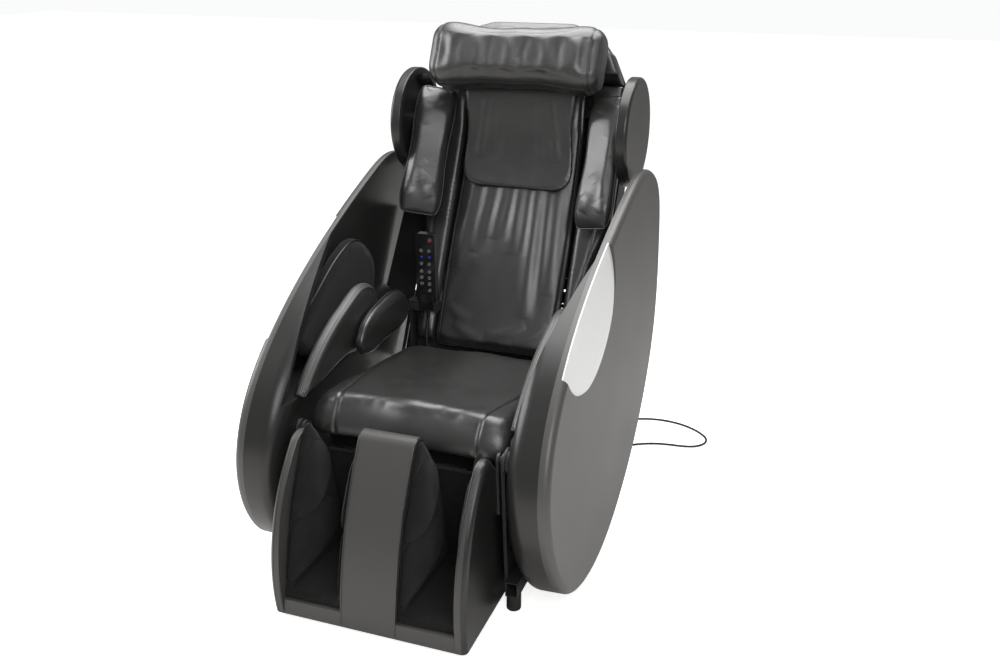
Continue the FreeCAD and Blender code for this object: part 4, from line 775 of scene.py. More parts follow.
def crease(piece: Piece, line: Array, width: float, height: float, fade: bool = True) -> None:
    """Raise or sink a mesh along a line: height * exp(-(distance / width)^2), fading at the line's ends.

    Args:
        piece: The mesh.
        line: Places on its surface.
        width: Half width of the crease.
        height: Outwards where positive, a seam's groove where negative.
        fade: Whether it dies away towards both ends.
    """
    points, reach = read_points(piece.data), width * 4
    near = np.all((points > line.min(0) - reach) & (points < line.max(0) + reach), axis=1)
    gap, share = away_from_line(points[near], line)
    lift = height * np.exp(-((gap / width) ** 2))
    if fade:
        lift = lift * np.sin(pi * np.clip(share, 0, 1)) ** 0.6
    points[near] += read_normals(piece.data)[near] * lift[:, None]
    write_points(piece, points)


def slack(piece: Piece, scale: Sequence[float], height: float, seed: int) -> None:
    """Uneven fill: points move along their normals by height / 3 times the sum of three crossed sine waves.

    Args:
        piece: The mesh.
        scale: Waves per metre along X, Y and Z, times 2 pi.
        height: The most that a point moves.
        seed: Sets the waves' directions and phases.
    """
    random = np.random.default_rng(seed)
    points = read_points(piece.data)
    lift = np.zeros(len(points))
    for _ in range(3):
        wave = unit(random.normal(size=3)) * np.array(scale) * random.uniform(0.7, 1.4)
        lift += np.sin(points @ wave + random.uniform(0, 2 * pi))
    write_points(piece, points + read_normals(piece.data) * (lift * height / 3)[:, None])


def dress(piece: Piece, material: Material) -> None:
    """Put one material on all of a piece.

    Args:
        piece: The piece.
        material: Its finish.
    """
    if not piece.material_slots:
        piece.data.materials.append(material)
    for place in piece.material_slots:
        place.material = material


def fix(piece: Piece, body: str, material: Material) -> Piece:
    """Ride a new piece on its body.

    Args:
        piece: The piece.
        body: The frame's body.
        material: Its finish.

    Returns:
        The piece.
    """
    dress(piece, material)
    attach(piece, body)
    LOG.info("%s rides on %s", piece.name, body)
    return piece


def hang(name: str, points: Array, shape: tuple[int, int], body: Body,
         material: Material) -> None:
    """Hang a sheet of cloth.

    Args:
        name: The piece's name.
        points: Places on its grid.
        shape: Rows and columns of the grid.
        body: The body it rides on.
        material: Its finish.
    """
    sheet = new_piece(name, points, grid_faces(*shape, False, False).tolist(), closed=False)
    wall = sheet.modifiers.new("thickness", "SOLIDIFY")
    wall.thickness = SHEET_THICKNESS
    settle(sheet)
    fix(sheet, body.value, material)


def press_fold(piece: Piece, skin: BVHTree, corners: Places, width: float, height: float,
               step: float = FOLD_STEP) -> Array:
    """Raise or sink a soft fold along a smooth line pushed onto the backrest from its front.

    Args:
        piece: The mesh.
        skin: The surface that the line is pushed onto.
        corners: Places in the backrest's millimetres that the line passes.
        width: Half width of the fold.
        height: Outwards where positive.
        step: Distance between places of the line.

    Returns:
        The line on the surface.
    """
    place, _ = laid_on(skin, smooth_path(on_back(corners), step), BACK_REAR)
    crease(piece, place, width, height)
    return place


@dataclass
class Pad:
    """One stuffed piece, sewn from the shape of its frame node.

    Attributes:
        name: The piece's name.
        node: The node it replaces.
        body: The body it rides on.
        voxel: Size of its mesh's cells before it is subdivided.
        shrink: How far the cover starts inside the node's skin.
        cap: The most that its filling lifts it.
        fill: Its filling, from 0 slack to 1 tight; not used.
        hold: The share of the cap that each point may use, or None for all of it.
        smooth: Rounds of smoothing.
        reshape: Moves the points before the filling, or None.
        piece: Its object, once it is cut.
        start: Its points before the filling.
    """

    name: str
    node: str
    body: Body
    voxel: float = 0.006
    shrink: float = 0.0015
    cap: float = 0.008
    fill: float = 0.7
    hold: Callable[[Array, Array], Array] | None = None
    smooth: int = 4
    reshape: Callable[[Array], Array] | None = None
    piece: Piece = field(default=None, repr=False)
    start: Array = field(default=None, repr=False)

    def cut(self) -> None:
        """Copy the node's mesh, merge it, remesh it evenly and draw it in a little."""
        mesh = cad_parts[self.node].data.copy()
        mesh.materials.clear()
        work = bmesh.new()
        work.from_mesh(mesh)
        bmesh.ops.remove_doubles(work, verts=work.verts, dist=MERGE_DISTANCE)
        bmesh.ops.recalc_face_normals(work, faces=work.faces)
        work.to_mesh(mesh)
        work.free()
        self.piece = bpy.data.objects.new(self.name, mesh)
        bpy.context.scene.collection.objects.link(self.piece)
        grid = self.piece.modifiers.new("even", "REMESH")
        grid.mode = "VOXEL"
        grid.voxel_size = self.voxel
        calm = self.piece.modifiers.new("calm", "SMOOTH")
        calm.factor = 0.5
        calm.iterations = self.smooth
        settle(self.piece)
        self.start = read_points(self.piece.data) - read_normals(self.piece.data) * self.shrink
        if self.reshape is not None:
            self.start = self.reshape(self.start)
        write_points(self.piece, self.start)

    def pump(self) -> None:
        """Give it the cloth that its filling presses outwards."""
        cloth = self.piece.modifiers.new("stuffing", "CLOTH")
        cloth.settings.quality = 5
        cloth.settings.mass = 0.3
        cloth.settings.tension_stiffness = 12
        cloth.settings.compression_stiffness = 6
        cloth.settings.shear_stiffness = 5
        cloth.settings.bending_stiffness = 0.6
        cloth.settings.use_pressure = True
        cloth.settings.uniform_pressure_force = CLOTH_PRESSURE
        cloth.settings.effector_weights.gravity = 0

    def finish(self, material: Material, slot: str) -> None:
        """Subdivide once, and put the pad in its node's place.

        Args:
            material: Its finish.
            slot: The record's material slot; not used.
        """
        finer = self.piece.modifiers.new("finer", "SUBSURF")
        finer.levels = finer.render_levels = 1
        settle(self.piece)
        fix(self.piece, self.body.value, material)
        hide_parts(self.node)

    def seam(self, name: str, line: Places, towards: Sequence[float] | None, palette: Palette,
             slot: str, loop: bool = False, groove: float = 0.0018, piping: float = 0.0, stitches: float = 0.0,
             thread: float = 0.0009) -> None:
        """Sew a seam: a groove with its thread line, a piping or a row of stitches beside it.

        Args:
            name: What its pieces are called.
            line: Places near the surface that the seam passes.
            towards: Direction in which it is laid on, or None for the nearest place.
            palette: The finishes.
            slot: The record's slot; not used.
            loop: Whether it closes on itself.
            groove: Depth of the groove.
            piping: Radius of a piping, or 0 for none.
            stitches: Distance of a stitch row from the seam, or 0 for none.
            thread: Radius of the dark line in the groove.
        """
        path = smooth_path(line, SEAM_STEP, loop)
        place, up = laid_on(skin_of(self.piece), path, towards)
        place, up = evened(place, loop), unit(evened(up, loop, 4))
        track = np.vstack([place, place[:1]]) if loop else place
        if groove:
            crease(self.piece, track, SEAM_HALF_WIDTH, -groove, fade=False)
        radius = piping or thread
        lift = piping * 0.35 if piping else -groove * 0.75
        cord = sweep(f"{name}_{'piping' if piping else 'seam'}", place + up * lift, up, circle(radius), loop)
        fix(cord, self.body.value, palette.piping)
        if stitches:
            along = unit(np.gradient(track, axis=0))
            rise = np.vstack([up, up[:1]]) if loop else up
            beside = track + np.cross(rise, along) * stitches
            beside, rise = laid_on(skin_of(self.piece), beside, None)
            row = stitch_row(f"{name}_stitches", beside, rise)
            fix(row, self.body.value, palette.thread)


def stuff(pads: Sequence[Pad]) -> None:
    """Each point then moves along its normal by how far the cloth lifted it, between 0 and its pad's cap.

    Args:
        pads: The pads, cut and not yet finished.
    """
    scene = bpy.context.scene
    scene.frame_start, scene.frame_end = 1, CLOTH_FRAMES
    for pad in pads:
        pad.pump()
    for number in range(1, CLOTH_FRAMES + 1):
        scene.frame_set(number)
    swollen = []
    for pad in pads:
        swollen.append(read_points(pad.piece.evaluated_get(bpy.context.evaluated_depsgraph_get()).data))
    for pad, shape in zip(pads, swollen):
        pad.piece.modifiers.clear()
        normals = read_normals(pad.piece.data)
        lift = ((shape - pad.start) * normals).sum(1)
        limit = np.full(len(lift), pad.cap)
        if pad.hold is not None:
            limit = limit * pad.hold(pad.start, normals)
        write_points(pad.piece, pad.start + normals * np.clip(lift, 0.0, limit)[:, None])
        calm = pad.piece.modifiers.new("calm", "SMOOTH")
        calm.factor, calm.iterations = 0.5, pad.smooth
        settle(pad.piece)
    scene.frame_set(1)


# Frames of reference


BACK_TILT = radians(62.0)
BACK_HINGE = np.array([0.0, 0.200, 0.330])
BACK_REAR = (0.0, sin(BACK_TILT), -cos(BACK_TILT))
BACK_UP = (0.0, cos(BACK_TILT), sin(BACK_TILT))


def on_back(points: Places) -> Array:
    """Places on the backrest, given as (x, v to the rear, w up along it) in millimetres.

    Args:
        points: (x, v, w) in millimetres.

    Returns:
        (n, 3) places in metres.
    """
    x, v, w = (np.array(points, float) / 1000.0).T
    spot = np.stack([x, np.zeros_like(x), np.zeros_like(x)], -1) + BACK_HINGE
    return spot + v[:, None] * np.array(BACK_REAR) + w[:, None] * np.array(BACK_UP)


LEAN_ANGLE = radians(4.4)
LEAN_POINT = np.array([0.370, -0.355, 0.571])
LEAN_AXIS = unit(np.array([0.0, 0.355, 0.200]))


def leant(points: Places, side: Side) -> Array:
    """Lean places of an upright housing outwards: turn them about the housing's front edge.

    Args:
        points: (x, y, z) in millimetres on the sitter's left.
        side: The side they belong to, mirrored for the right.

    Returns:
        (n, 3) places in metres.
    """
    offset = np.array(points, float) / 1000.0 - LEAN_POINT
    c, s = cos(-LEAN_ANGLE), sin(-LEAN_ANGLE)
    turned = offset * c + np.cross(LEAN_AXIS, offset) * s + LEAN_AXIS * (offset @ LEAN_AXIS)[:, None] * (1 - c)
    return (turned + LEAN_POINT) * np.array([side.value, 1, 1])


def in_metres(points: Places) -> Array:
    """Millimetres to metres."""
    return np.array(points, float) / 1000.0


# The studio and the cords


@dataclass
class Studio:
    """Camera, floor and soft lamps."""

    lens: float = 37.39
    sensor: float = 36.0
    place: tuple[float, float, float] = (0.92203, -2.29944, 1.46327)
    pitch: float = 90.0 - 21.346
    heading: float = 19.896
    floor_glow: float = 0.8
    floor_reach: float = 14.0
    ambient: float = 0.3

    def camera(self) -> None:
        """Stand the camera where the photograph was taken from."""
        data = bpy.data.cameras.new("camera")
        data.lens, data.sensor_width = self.lens, self.sensor
        camera = bpy.data.objects.new("camera", data)
        camera.location = self.place
        camera.rotation_euler = (radians(self.pitch), 0.0, radians(self.heading))
        bpy.context.scene.collection.objects.link(camera)
        bpy.context.scene.camera = camera

    def lamp(self, name: str, place: Sequence[float], target: Sequence[float], size: float, power: float) -> None:
        """Hang one soft square lamp.

        Args:
            name: Its name.
            place: Where it hangs.
            target: The place it points at.
            size: Length of its side.
            power: Watts.
        """
        data = bpy.data.lights.new(name, "AREA")
        data.energy, data.size, data.shape = power, size, "SQUARE"
        lamp = bpy.data.objects.new(name, data)
        lamp.location = place
        lamp.rotation_euler = (Vector(target) - Vector(place)).to_track_quat("-Z", "Y").to_euler()
        bpy.context.scene.collection.objects.link(lamp)

    def light(self) -> None:
        """Lamps above, left and right, and a white world behind the floor."""
        self.lamp("ceiling_lamp", (0.1, 0.6, 2.9), (0, -0.1, 0.5), 2.4, 100.0)
        self.lamp("window_lamp", (-2.5, -0.6, 1.9), (0, 0, 0.5), 1.8, 60.0)
        self.lamp("front_lamp", (1.7, -2.9, 2.5), (0, -0.1, 0.5), 2.0, 55.0)
        world = bpy.data.worlds.new("studio")
        bpy.context.scene.world = world
        world.use_nodes = True
        nodes, links = world.node_tree.nodes, world.node_tree.links
        background = nodes["Background"]
        path = nodes.new("ShaderNodeLightPath")
        seen = nodes.new("ShaderNodeMath")
        seen.operation = "MAXIMUM"
        links.new(path.outputs["Is Camera Ray"], seen.inputs[0])
        links.new(path.outputs["Is Transmission Ray"], seen.inputs[1])
        strength = nodes.new("ShaderNodeMapRange")
        strength.inputs["To Min"].default_value = self.ambient
        strength.inputs["To Max"].default_value = 1.0
        links.new(seen.outputs[0], strength.inputs["Value"])
        links.new(strength.outputs["Result"], background.inputs["Strength"])
        background.inputs["Color"].default_value = (0.96, 0.965, 0.97, 1)
        bpy.context.scene.view_settings.view_transform = "Standard"

    def floor(self) -> None:
        """Lay a plain pale floor, faintly uneven, that glows for the camera alone."""
        corners = np.array([[-1, -1, 0], [1, -1, 0], [1, 1, 0], [-1, 1, 0]], float)
        floor = new_piece("studio_floor", corners * self.floor_reach, [[0, 1, 2, 3]], closed=False)
        look = Shader("pale_floor", (0.86, 0.85, 0.83), 0.55)
        look.blend_colour(look.noise(2.2, 5.0), (0.88, 0.87, 0.85), (0.82, 0.805, 0.78))
        look.rough_from(look.noise(6.0, 3.0), 0.5, 0.65)
        glow = look.add("ShaderNodeEmission")
        glow.inputs["Color"].default_value = (1.0, 0.995, 0.985, 1)
        seen = look.add("ShaderNodeMath", operation="MULTIPLY")
        look.link(look.add("ShaderNodeLightPath").outputs["Is Camera Ray"], seen.inputs[0])
        seen.inputs[1].default_value = self.floor_glow
        look.link(seen.outputs[0], glow.inputs["Strength"])
        both = look.add("ShaderNodeAddShader")
        look.link(look.surface.outputs["BSDF"], both.inputs[0])
        look.link(glow.outputs[0], both.inputs[1])
        look.link(both.outputs[0], look.output.inputs["Surface"])
        dress(floor, look.material)


MAINS_RUN = (
    (136, 352, 104), (136, 384, 104), (137, 416, 97), (140, 444, 78), (146, 468, 48), (154, 490, 20),
    (168, 514, 6), (192, 544, 3.4), (224, 580, 3.4), (262, 618, 3.4), (306, 654, 3.4), (356, 674, 3.4),
    (410, 678, 3.4), (464, 666, 3.4), (512, 638, 3.4), (548, 600, 3.4), (550, 560, 3.4), (524, 530, 3.4),
    (484, 520, 3.4), (442, 518, 3.4), (396, 508, 3.4), (352, 486, 3.4), (320, 460, 3.4), (290, 444, 3.4),
)
HANDSET_RUN = (
    (-196.5, 201, 457), (-196.5, 201, 442), (-196, 186, 416), (-192, 174, 382), (-184, 169, 342),
    (-176, 169, 298), (-164, 173, 252), (-146, 180, 210), (-126, 188, 176), (-118, 192, 152), (-118, 193, 137),
)


@dataclass
class Cords:
    """The mains lead with its put-away coil, and the handset's cord."""

    mains_diameter: float = 6.5
    handset_diameter: float = 5.0
    coil_centre: tuple[float, float] = (250.0, 490.0)
    coil_radius: float = 46.0
    coil_pitch: float = 7.6
    coil_turns: int = 5
    coil_fold: float = 2.25
    coil_climb: float = 0.75
    coil_layer: float = 7.3
    floor_height: float = 3.4
    points_per_turn: int = 16
    relief_rings: int = 61
    relief_sides: int = 20
    relief_ribs: int = 7

    def coil_run(self) -> Array:
        """The coil's places: turns wound inwards, then outwards on top of them.

        Returns:
            (n, 3) places in millimetres.
        """
        t = np.arange(0, self.coil_turns * self.points_per_turn + 1) / self.points_per_turn
        angle = -pi / 2 - 2 * pi * t
        inwards = np.minimum(t, self.coil_fold)
        outwards = np.maximum(t - self.coil_fold, 0.0)
        radius = self.coil_radius - self.coil_pitch * inwards + self.coil_pitch * outwards
        rise = eased(np.clip((t - self.coil_fold + self.coil_climb / 2) / self.coil_climb, 0, 1))
        x = self.coil_centre[0] + radius * np.cos(angle)
        y = self.coil_centre[1] + radius * np.sin(angle)
        return np.stack([x, y, self.floor_height + self.coil_layer * rise], -1)

    def spline(self, name: str, points: Array, diameter: float) -> Piece:
        """A round cord whose route's points are the control points of one NURBS spline.

        Args:
            name: The piece's name.
            points: (n, 3) places in millimetres.
            diameter: In millimetres.

        Returns:
            The curve object.
        """
        data = bpy.data.curves.new(name, "CURVE")
        data.dimensions = "3D"
        data.bevel_depth = diameter / 2000.0 / POINT_RADIUS
        data.bevel_resolution = 4
        data.resolution_u = 10
        data.use_fill_caps = True
        run = data.splines.new("NURBS")
        run.points.add(len(points) - 1)
        places = np.hstack([in_metres(points), np.ones((len(points), 1))])
        run.points.foreach_set("co", places.ravel())
        run.points.foreach_set("radius", np.full(len(points), POINT_RADIUS))
        run.order_u = 3
        run.use_endpoint_u = True
        cord = bpy.data.objects.new(name, data)
        bpy.context.scene.collection.objects.link(cord)
        return cord

    def build(self, palette: Palette) -> None:
        """Lay both cords.

        Args:
            palette: The finishes.
        """
        coil = self.coil_run()
        low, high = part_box("mains_plug")
        middle = (low + high) * 500.0
        coil_end = coil[-1]
        leave = [(coil_end[0] - 14, coil_end[1], coil_end[2]), (high.x * 1000 + 6, middle.y, coil_end[2]),
                 (high.x * 1000 - 2, middle.y, middle.z)]
        points = np.vstack([MAINS_RUN, coil, leave])
        mains = fix(self.spline("mains_lead", points, self.mains_diameter), "base", palette.rubber)
        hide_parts("mains_cord", "cord_coil")
        length = self.length_of(mains)
        cord = self.spline("handset_lead", np.array(HANDSET_RUN, float), self.handset_diameter)
        fix(cord, "base", palette.rubber)
        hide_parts("handset_cord")
        self.length_of(cord)
        self.relief(palette)

    def length_of(self, cord: Piece) -> float:
        """The length of a cord's middle line, read from the curve with no bevel.

        Args:
            cord: The curve object.

        Returns:
            Metres, to the nearest millimetre.
        """
        depth, cord.data.bevel_depth = cord.data.bevel_depth, 0.0
        bpy.context.view_layer.update()
        line = bpy.data.meshes.new_from_object(cord.evaluated_get(bpy.context.evaluated_depsgraph_get()))
        runs = np.diff(read_points(line), axis=0)
        cord.data.bevel_depth = depth
        bpy.data.meshes.remove(line)
        return round(float(np.linalg.norm(runs, axis=1).sum()), 3)

    def relief(self, palette: Palette) -> None:
        """Ribbed strain relief on the mains lead: rings along a straight 30 mm, of radius 6.8 - 2.2 t + a rib.

        Args:
            palette: The finishes.
        """
        t = np.linspace(0, 1, self.relief_rings)
        rib = 0.0009 * (np.sin(t * 2 * pi * self.relief_ribs) > 0)
        ring = circle(1.0, self.relief_sides)
        radius = (0.0068 - 0.0022 * t + rib)[:, None]
        points = spread(0.136 + radius * ring[:, 0], (0.354 + 0.030 * t)[:, None], 0.104 + radius * ring[:, 1])
        faces = tube_faces(self.relief_rings, self.relief_sides)
        fix(new_piece("mains_strain_relief", points, faces), "base", palette.rubber)


# Sub-assemblies


def facing(axis: int, sign: float) -> Callable[[Array, Array], Array]:
    """A hold that stops the swelling where the surface faces along an axis, by 1 - 1.4 of its cosine."""
    return lambda points, normals: np.clip(1.0 - 1.4 * np.clip(normals[:, axis] * sign, 0, 1), 0.08, 1)


def hold_rear(points: Array, normals: Array) -> Array:
    """Stops the swelling where the surface faces the back's rear, by 1 - 1.5 of its cosine."""
    return np.clip(1.0 - 1.5 * np.clip(normals @ np.array(BACK_REAR), 0, 1), 0.05, 1)


def full_seat(points: Array) -> Array:
    """Let the seat's cover bulge past its core: 5 % wider, and its front lip 18 mm lower and 8 mm ahead.

    Args:
        points: The cover's places.

    Returns:
        The moved places.
    """
    front = eased(np.clip((-0.26 - points[:, 1]) / 0.12, 0, 1))
    low = eased(np.clip((0.452 - points[:, 2]) / 0.06, 0, 1))
    lip = front * low
    return points * np.array([1.05, 1, 1]) + lip[:, None] * np.array([0.0, -0.008, -0.018])


@dataclass
class Seat:
    """The seat cushion with its two long seams, and the cloth skirt under its front."""

    pad: Pad = field(default_factory=lambda: Pad("seat_cushion_cover", "seat_cushion", Body.BASE, cap=0.009,
                                                 reshape=full_seat, smooth=8, hold=facing(2, -1.0)))
    seam_line: tuple[tuple[float, float, float], ...] = (
        (176, -404, 372), (176, -404, 420), (178, -378, 464), (184, -320, 470), (196, -240, 462),
        (208, -170, 452), (214, -60, 440), (214, 80, 424),
    )
    skirt_half: float = 0.222
    skirt_top: float = 0.382
    skirt_foot: float = 0.300
    skirt_place: float = -0.330
    skirt_grid: tuple[int, int] = (18, 90)

    def pads(self) -> list[Pad]:
        """The stuffed pieces."""
        return [self.pad]

    def build(self, palette: Palette) -> None:
        """Finish the cushion and sew its seams.

        Args:
            palette: The finishes.
        """
        self.pad.finish(palette.leather, "leather")
        slack(self.pad.piece, (22, 18, 10), 0.0012, 3)
        for side in Side:
            line = in_metres(self.seam_line) * np.array([side.value, 1, 1])
            self.pad.seam(f"{side.word}_seat", line, None, palette, "leather", groove=0.0026, thread=0.0008)
        self.skirt(palette)

    def skirt(self, palette: Palette) -> None:
        """Black cloth that hangs from the seat's underside and hides the frame.

        Its place along Y is a shallow wave along X that grows downwards, and a smaller steady one.

        Args:
            palette: The finishes.
        """
        rows, columns = self.skirt_grid
        x = np.linspace(-self.skirt_half, self.skirt_half, columns)[None, :]
        z = np.linspace(self.skirt_top, self.skirt_foot, rows)[:, None]
        drop = (self.skirt_top - z) / (self.skirt_top - self.skirt_foot)
        y = self.skirt_place + 0.0028 * drop * np.sin(x * 95.0) + 0.0012 * np.sin(x * 41.0 + 1.0)
        hang("seat_front_skirt", spread(x, y, z), self.skirt_grid, Body.BASE,
             palette.cloth)


@dataclass
class Backrest:
    """Cushion, side bolsters, head part, pillow with its flap, and the shoulder pads."""

    cushion: Pad = field(default_factory=lambda: Pad("back_cushion_cover", "back_cushion", Body.BACK, cap=0.007,
                                                     hold=hold_rear))
    head: Pad = field(default_factory=lambda: Pad("head_rest_cover", "head_pad", Body.BACK, cap=0.006,
                                                  hold=hold_rear))
    pillow: Pad = field(default_factory=lambda: Pad("head_pillow_cover", "head_pillow", Body.BACK, voxel=0.0055,
                                                    cap=0.008, shrink=0.002, fill=0.6))
    flap: Pad = field(default_factory=lambda: Pad("pillow_flap_cover", "pillow_flap", Body.BACK, voxel=0.0042,
                                                  shrink=0.0006, cap=0.002, fill=0.3, smooth=2))
    bolsters: list[Pad] = field(default_factory=list)
    shoulders: list[Pad] = field(default_factory=list)
    # Folds below the flap: x at the top and the foot, how low they reach, and their height.
    folds: tuple[tuple[float, float, float, float], ...] = (
        (-124, -140, 250, 0.0050), (-82, -100, 300, 0.0045), (-34, -44, 340, 0.0040), (14, 18, 300, 0.0050),
        (66, 80, 130, 0.0068), (126, 140, 200, 0.0052),
    )
    # Low folds above the seat: x and w of both ends.
    sags: tuple[tuple[float, float, float, float], ...] = (
        (-120, 96, -30, 60), (-20, 70, 90, 110), (60, 60, 150, 120), (-150, 150, -70, 110),
    )
    # Gathers of the pillow: x, how far their middle leans, and their height.
    gathers: tuple[tuple[float, float, float], ...] = (
        (-196, 10, -0.005), (-150, -8, -0.0035), (-104, 14, 0.003), (-60, -10, -0.0035), (-14, 8, 0.0035),
        (38, -12, -0.004), (84, 10, 0.003), (132, -6, -0.004), (172, 12, 0.0035), (204, -8, -0.005),
    )
    # Dents of a shoulder pad: x and w of their lower end, how far up they reach, and their height.
    dents: tuple[tuple[float, float, float, float], ...] = (
        (220, 420, 46, 0.0025), (250, 436, 60, -0.003), (276, 414, 40, 0.0025), (240, 470, 52, 0.002),
        (262, 620, 70, -0.0015), (226, 690, 40, 0.002), (270, 705, 44, -0.002),
    )
    shoulder_edge: tuple[tuple[float, float, float], ...] = (
        (199, -107, 390), (199, -107, 500), (199, -107, 620), (202, -108, 730), (248, -128, 741),
        (292, -147, 730), (297, -149, 620), (297, -149, 500), (297, -149, 390), (250, -129, 379),
    )
    flap_border: tuple[tuple[float, float], ...] = (
        (-143, 716), (-143, 600), (-142, 530), (-130, 508), (-100, 499), (0, 495), (100, 499), (130, 508),
        (142, 530), (143, 600), (143, 716),
    )
    apron_grid: tuple[int, int] = (16, 80)
    curtain_grid: tuple[int, int] = (44, 12)

    def pads(self) -> list[Pad]:
        """The stuffed pieces.

        Returns:
            Every pad, not yet cut.
        """
        for side in Side:
            self.bolsters.append(Pad(f"{side.word}_bolster_cover", f"{side.word}_back_bolster", Body.BACK,
                                     cap=0.005, hold=hold_rear))
            self.shoulders.append(Pad(f"{side.word}_shoulder_cover", f"{side.word}_shoulder_pad", Body.BACK,
                                      voxel=0.005, cap=0.007, shrink=0.001, fill=0.75, smooth=6))
        return [self.cushion, self.head, self.pillow, self.flap, *self.bolsters, *self.shoulders]

    def build(self, palette: Palette) -> None:
        """Finish every pad of the back.

        Args:
            palette: The finishes.
        """
        for pad in (self.cushion, self.head, self.pillow, self.flap, *self.bolsters, *self.shoulders):
            pad.finish(palette.leather, "leather")
        self.build_apron(palette)
        for side in Side:
            self.build_curtain(palette, side)
        self.build_cushion(palette)
        self.build_pillow(palette)
        self.build_flap(palette)
        self.build_shoulders(palette)
        for side, pad in zip(Side, self.bolsters):
            slack(pad.piece, (20, 16, 16), 0.0014, 11 + side.value)
            line = on_back([(side.value * x, -46, w) for x, w in ((206, 70), (208, 200), (226, 300), (236, 420),
                                                                  (236, 600), (232, 740))])
            pad.seam(f"{side.word}_bolster", line, BACK_REAR, palette, "leather", groove=0.0016)

    def build_apron(self, palette: Palette) -> None:
        """Black cloth from under the back cushion down behind the seat, with a wave that grows downwards.

        Args:
            palette: The finishes.
        """
        rows, columns = self.apron_grid
        x = np.linspace(-228, 228, columns)[None, :]
        w = np.linspace(58, -12, rows)[:, None]
        v = -19 + 1.6 * (58 - w) / 70 * np.sin(x / 23.0)
        hang("back_apron", on_back(spread(x, v, w)), self.apron_grid, Body.BACK,
             palette.cloth)

    def build_curtain(self, palette: Palette, side: Side) -> None:
        """Close the gap beside the backrest with a strip on the back and a curtain on the housing trim.

        Both lie in the plane v = 13 with a shallow wave. The curtain's outer edge follows the trim, which
        steps out above the arm pads.

        Args:
            palette: The finishes.
            side: The sitter's side.
        """
        rows, columns = self.curtain_grid
        w = np.linspace(424, -16, rows)[:, None]
        share = np.linspace(0, 1, columns)[None, :]
        height = 324 + BACK_UP[2] * w
        step = np.clip((height - 445) / 45, 0, 1)
        outer = 289 + step * (371 - 0.075 * (height - 500) - 289)
        spans = {"strip": (225 + 0 * w, 277 + 0 * w, Body.BACK, "back_cushion"),
                 "curtain": (279 + 0 * w, outer, Body.BASE, f"{side.word}_inner_trim")}
        for name, (near, far, body, holder) in spans.items():
            x = side.value * (near + (far - near) * share)
            v = 13 + 0.8 * np.sin(w / 31.0) * np.sin(share * pi)
            hang(f"{side.word}_side_{name}", on_back(spread(x, v, w)), self.curtain_grid, body,
                 palette.cloth)

    def build_cushion(self, palette: Palette) -> None:
        """Fan the soft folds out below the flap, then sew the two edges.

        Args:
            palette: The finishes.
        """
        skin = skin_of(self.cushion.piece)
        slack(self.cushion.piece, (26, 8, 8), 0.0016, 5)
        for top, foot, low, height in self.folds:
            corners = [(top, -60, 540), (top, -60, 470), ((top + foot) / 2, -60, (470 + low) / 2), (foot, -60, low)]
            place = press_fold(self.cushion.piece, skin, corners, 0.021, height)
            crease(self.cushion.piece, place + np.array([0.030, 0, 0]), 0.017, -height * 0.5)
        for x0, w0, x1, w1 in self.sags:
            corners = [(x0, -60, w0), ((x0 + x1) / 2, -60, (w0 + w1) / 2 - 8), (x1, -60, w1)]
            press_fold(self.cushion.piece, skin, corners, 0.015, 0.003)
        for side in Side:
            line = on_back([(side.value * x, -50, w) for x, w in ((160, 40), (166, 200), (166, 400), (162, 600),
                                                                  (154, 760))])
            self.cushion.seam(f"{side.word}_back_edge", line, BACK_REAR, palette, "leather", groove=0.0018)

    def build_pillow(self, palette: Palette) -> None:
        """Dent the roll where its cover is gathered, and sew its ends.

        Args:
            palette: The finishes.
        """
        pillow = self.pillow
        slack(pillow.piece, (34, 12, 14), 0.0036, 21)
        skin = skin_of(pillow.piece)
        for x, lean, height in self.gathers:
            press_fold(pillow.piece, skin, [(x, -300, 750), (x + lean, -300, 790), (x, -300, 840)], 0.016, height)
        for side in Side:
            x = side.value * 212
            ring = [(x, -215 + 62 * cos(a), 801 + 90 * sin(a)) for a in np.linspace(0, 2 * pi, 14, endpoint=False)]
            pillow.seam(f"{side.word}_pillow_end", on_back(ring), None, palette, "leather", loop=True, groove=0.0022,
                        stitches=0.005)
        hem = on_back([(x, -240, 712) for x in (-205, -100, 0, 100, 205)])
        pillow.seam("pillow_hem", hem, None, palette, "leather", groove=0.0012, stitches=0.005)

    def build_flap(self, palette: Palette) -> None:
        """Stitch the flap's border, and curl its sides a little.

        Args:
            palette: The finishes.
        """
        path = smooth_path(on_back([(x, -100, w) for x, w in self.flap_border]), SEAM_STEP)
        skin = skin_of(self.flap.piece)
        for x, height in ((-112, 0.004), (112, 0.004), (-60, -0.002), (66, -0.0024)):
            corners = [(x * 0.8, -120, 715), (x * 0.9, -120, 640), (x, -120, 560)]
            press_fold(self.flap.piece, skin, corners, 0.014, height)
        place, up = laid_on(skin_of(self.flap.piece), path, BACK_REAR)
        up = unit(evened(up, False, 4))
        fix(stitch_row("flap_border_stitches", evened(place, False) + up * 0.0002, up), "back",
            palette.thread)

    def build_shoulders(self, palette: Palette) -> None:
        """Crease the shoulder pads near their lower ends, and pipe their edges.

        Args:
            palette: The finishes.
        """
        for side, pad in zip(Side, self.shoulders):
            s = side.value
            slack(pad.piece, (24, 20, 14), 0.0018, 31 + s)
            skin = skin_of(pad.piece)
            for x, w, reach, height in self.dents:
                corners = [(s * x, -180, w), (s * (x + 8), -180, w + reach / 2), (s * (x - 6), -180, w + reach)]
                press_fold(pad.piece, skin, corners, 0.017, height, CREASE_STEP)
            ring = on_back([(s * x, v, w) for x, v, w in self.shoulder_edge])
            pad.seam(f"{side.word}_shoulder", ring, None, palette, "leather", loop=True, groove=0.001, piping=0.0018,
                     stitches=0.006)


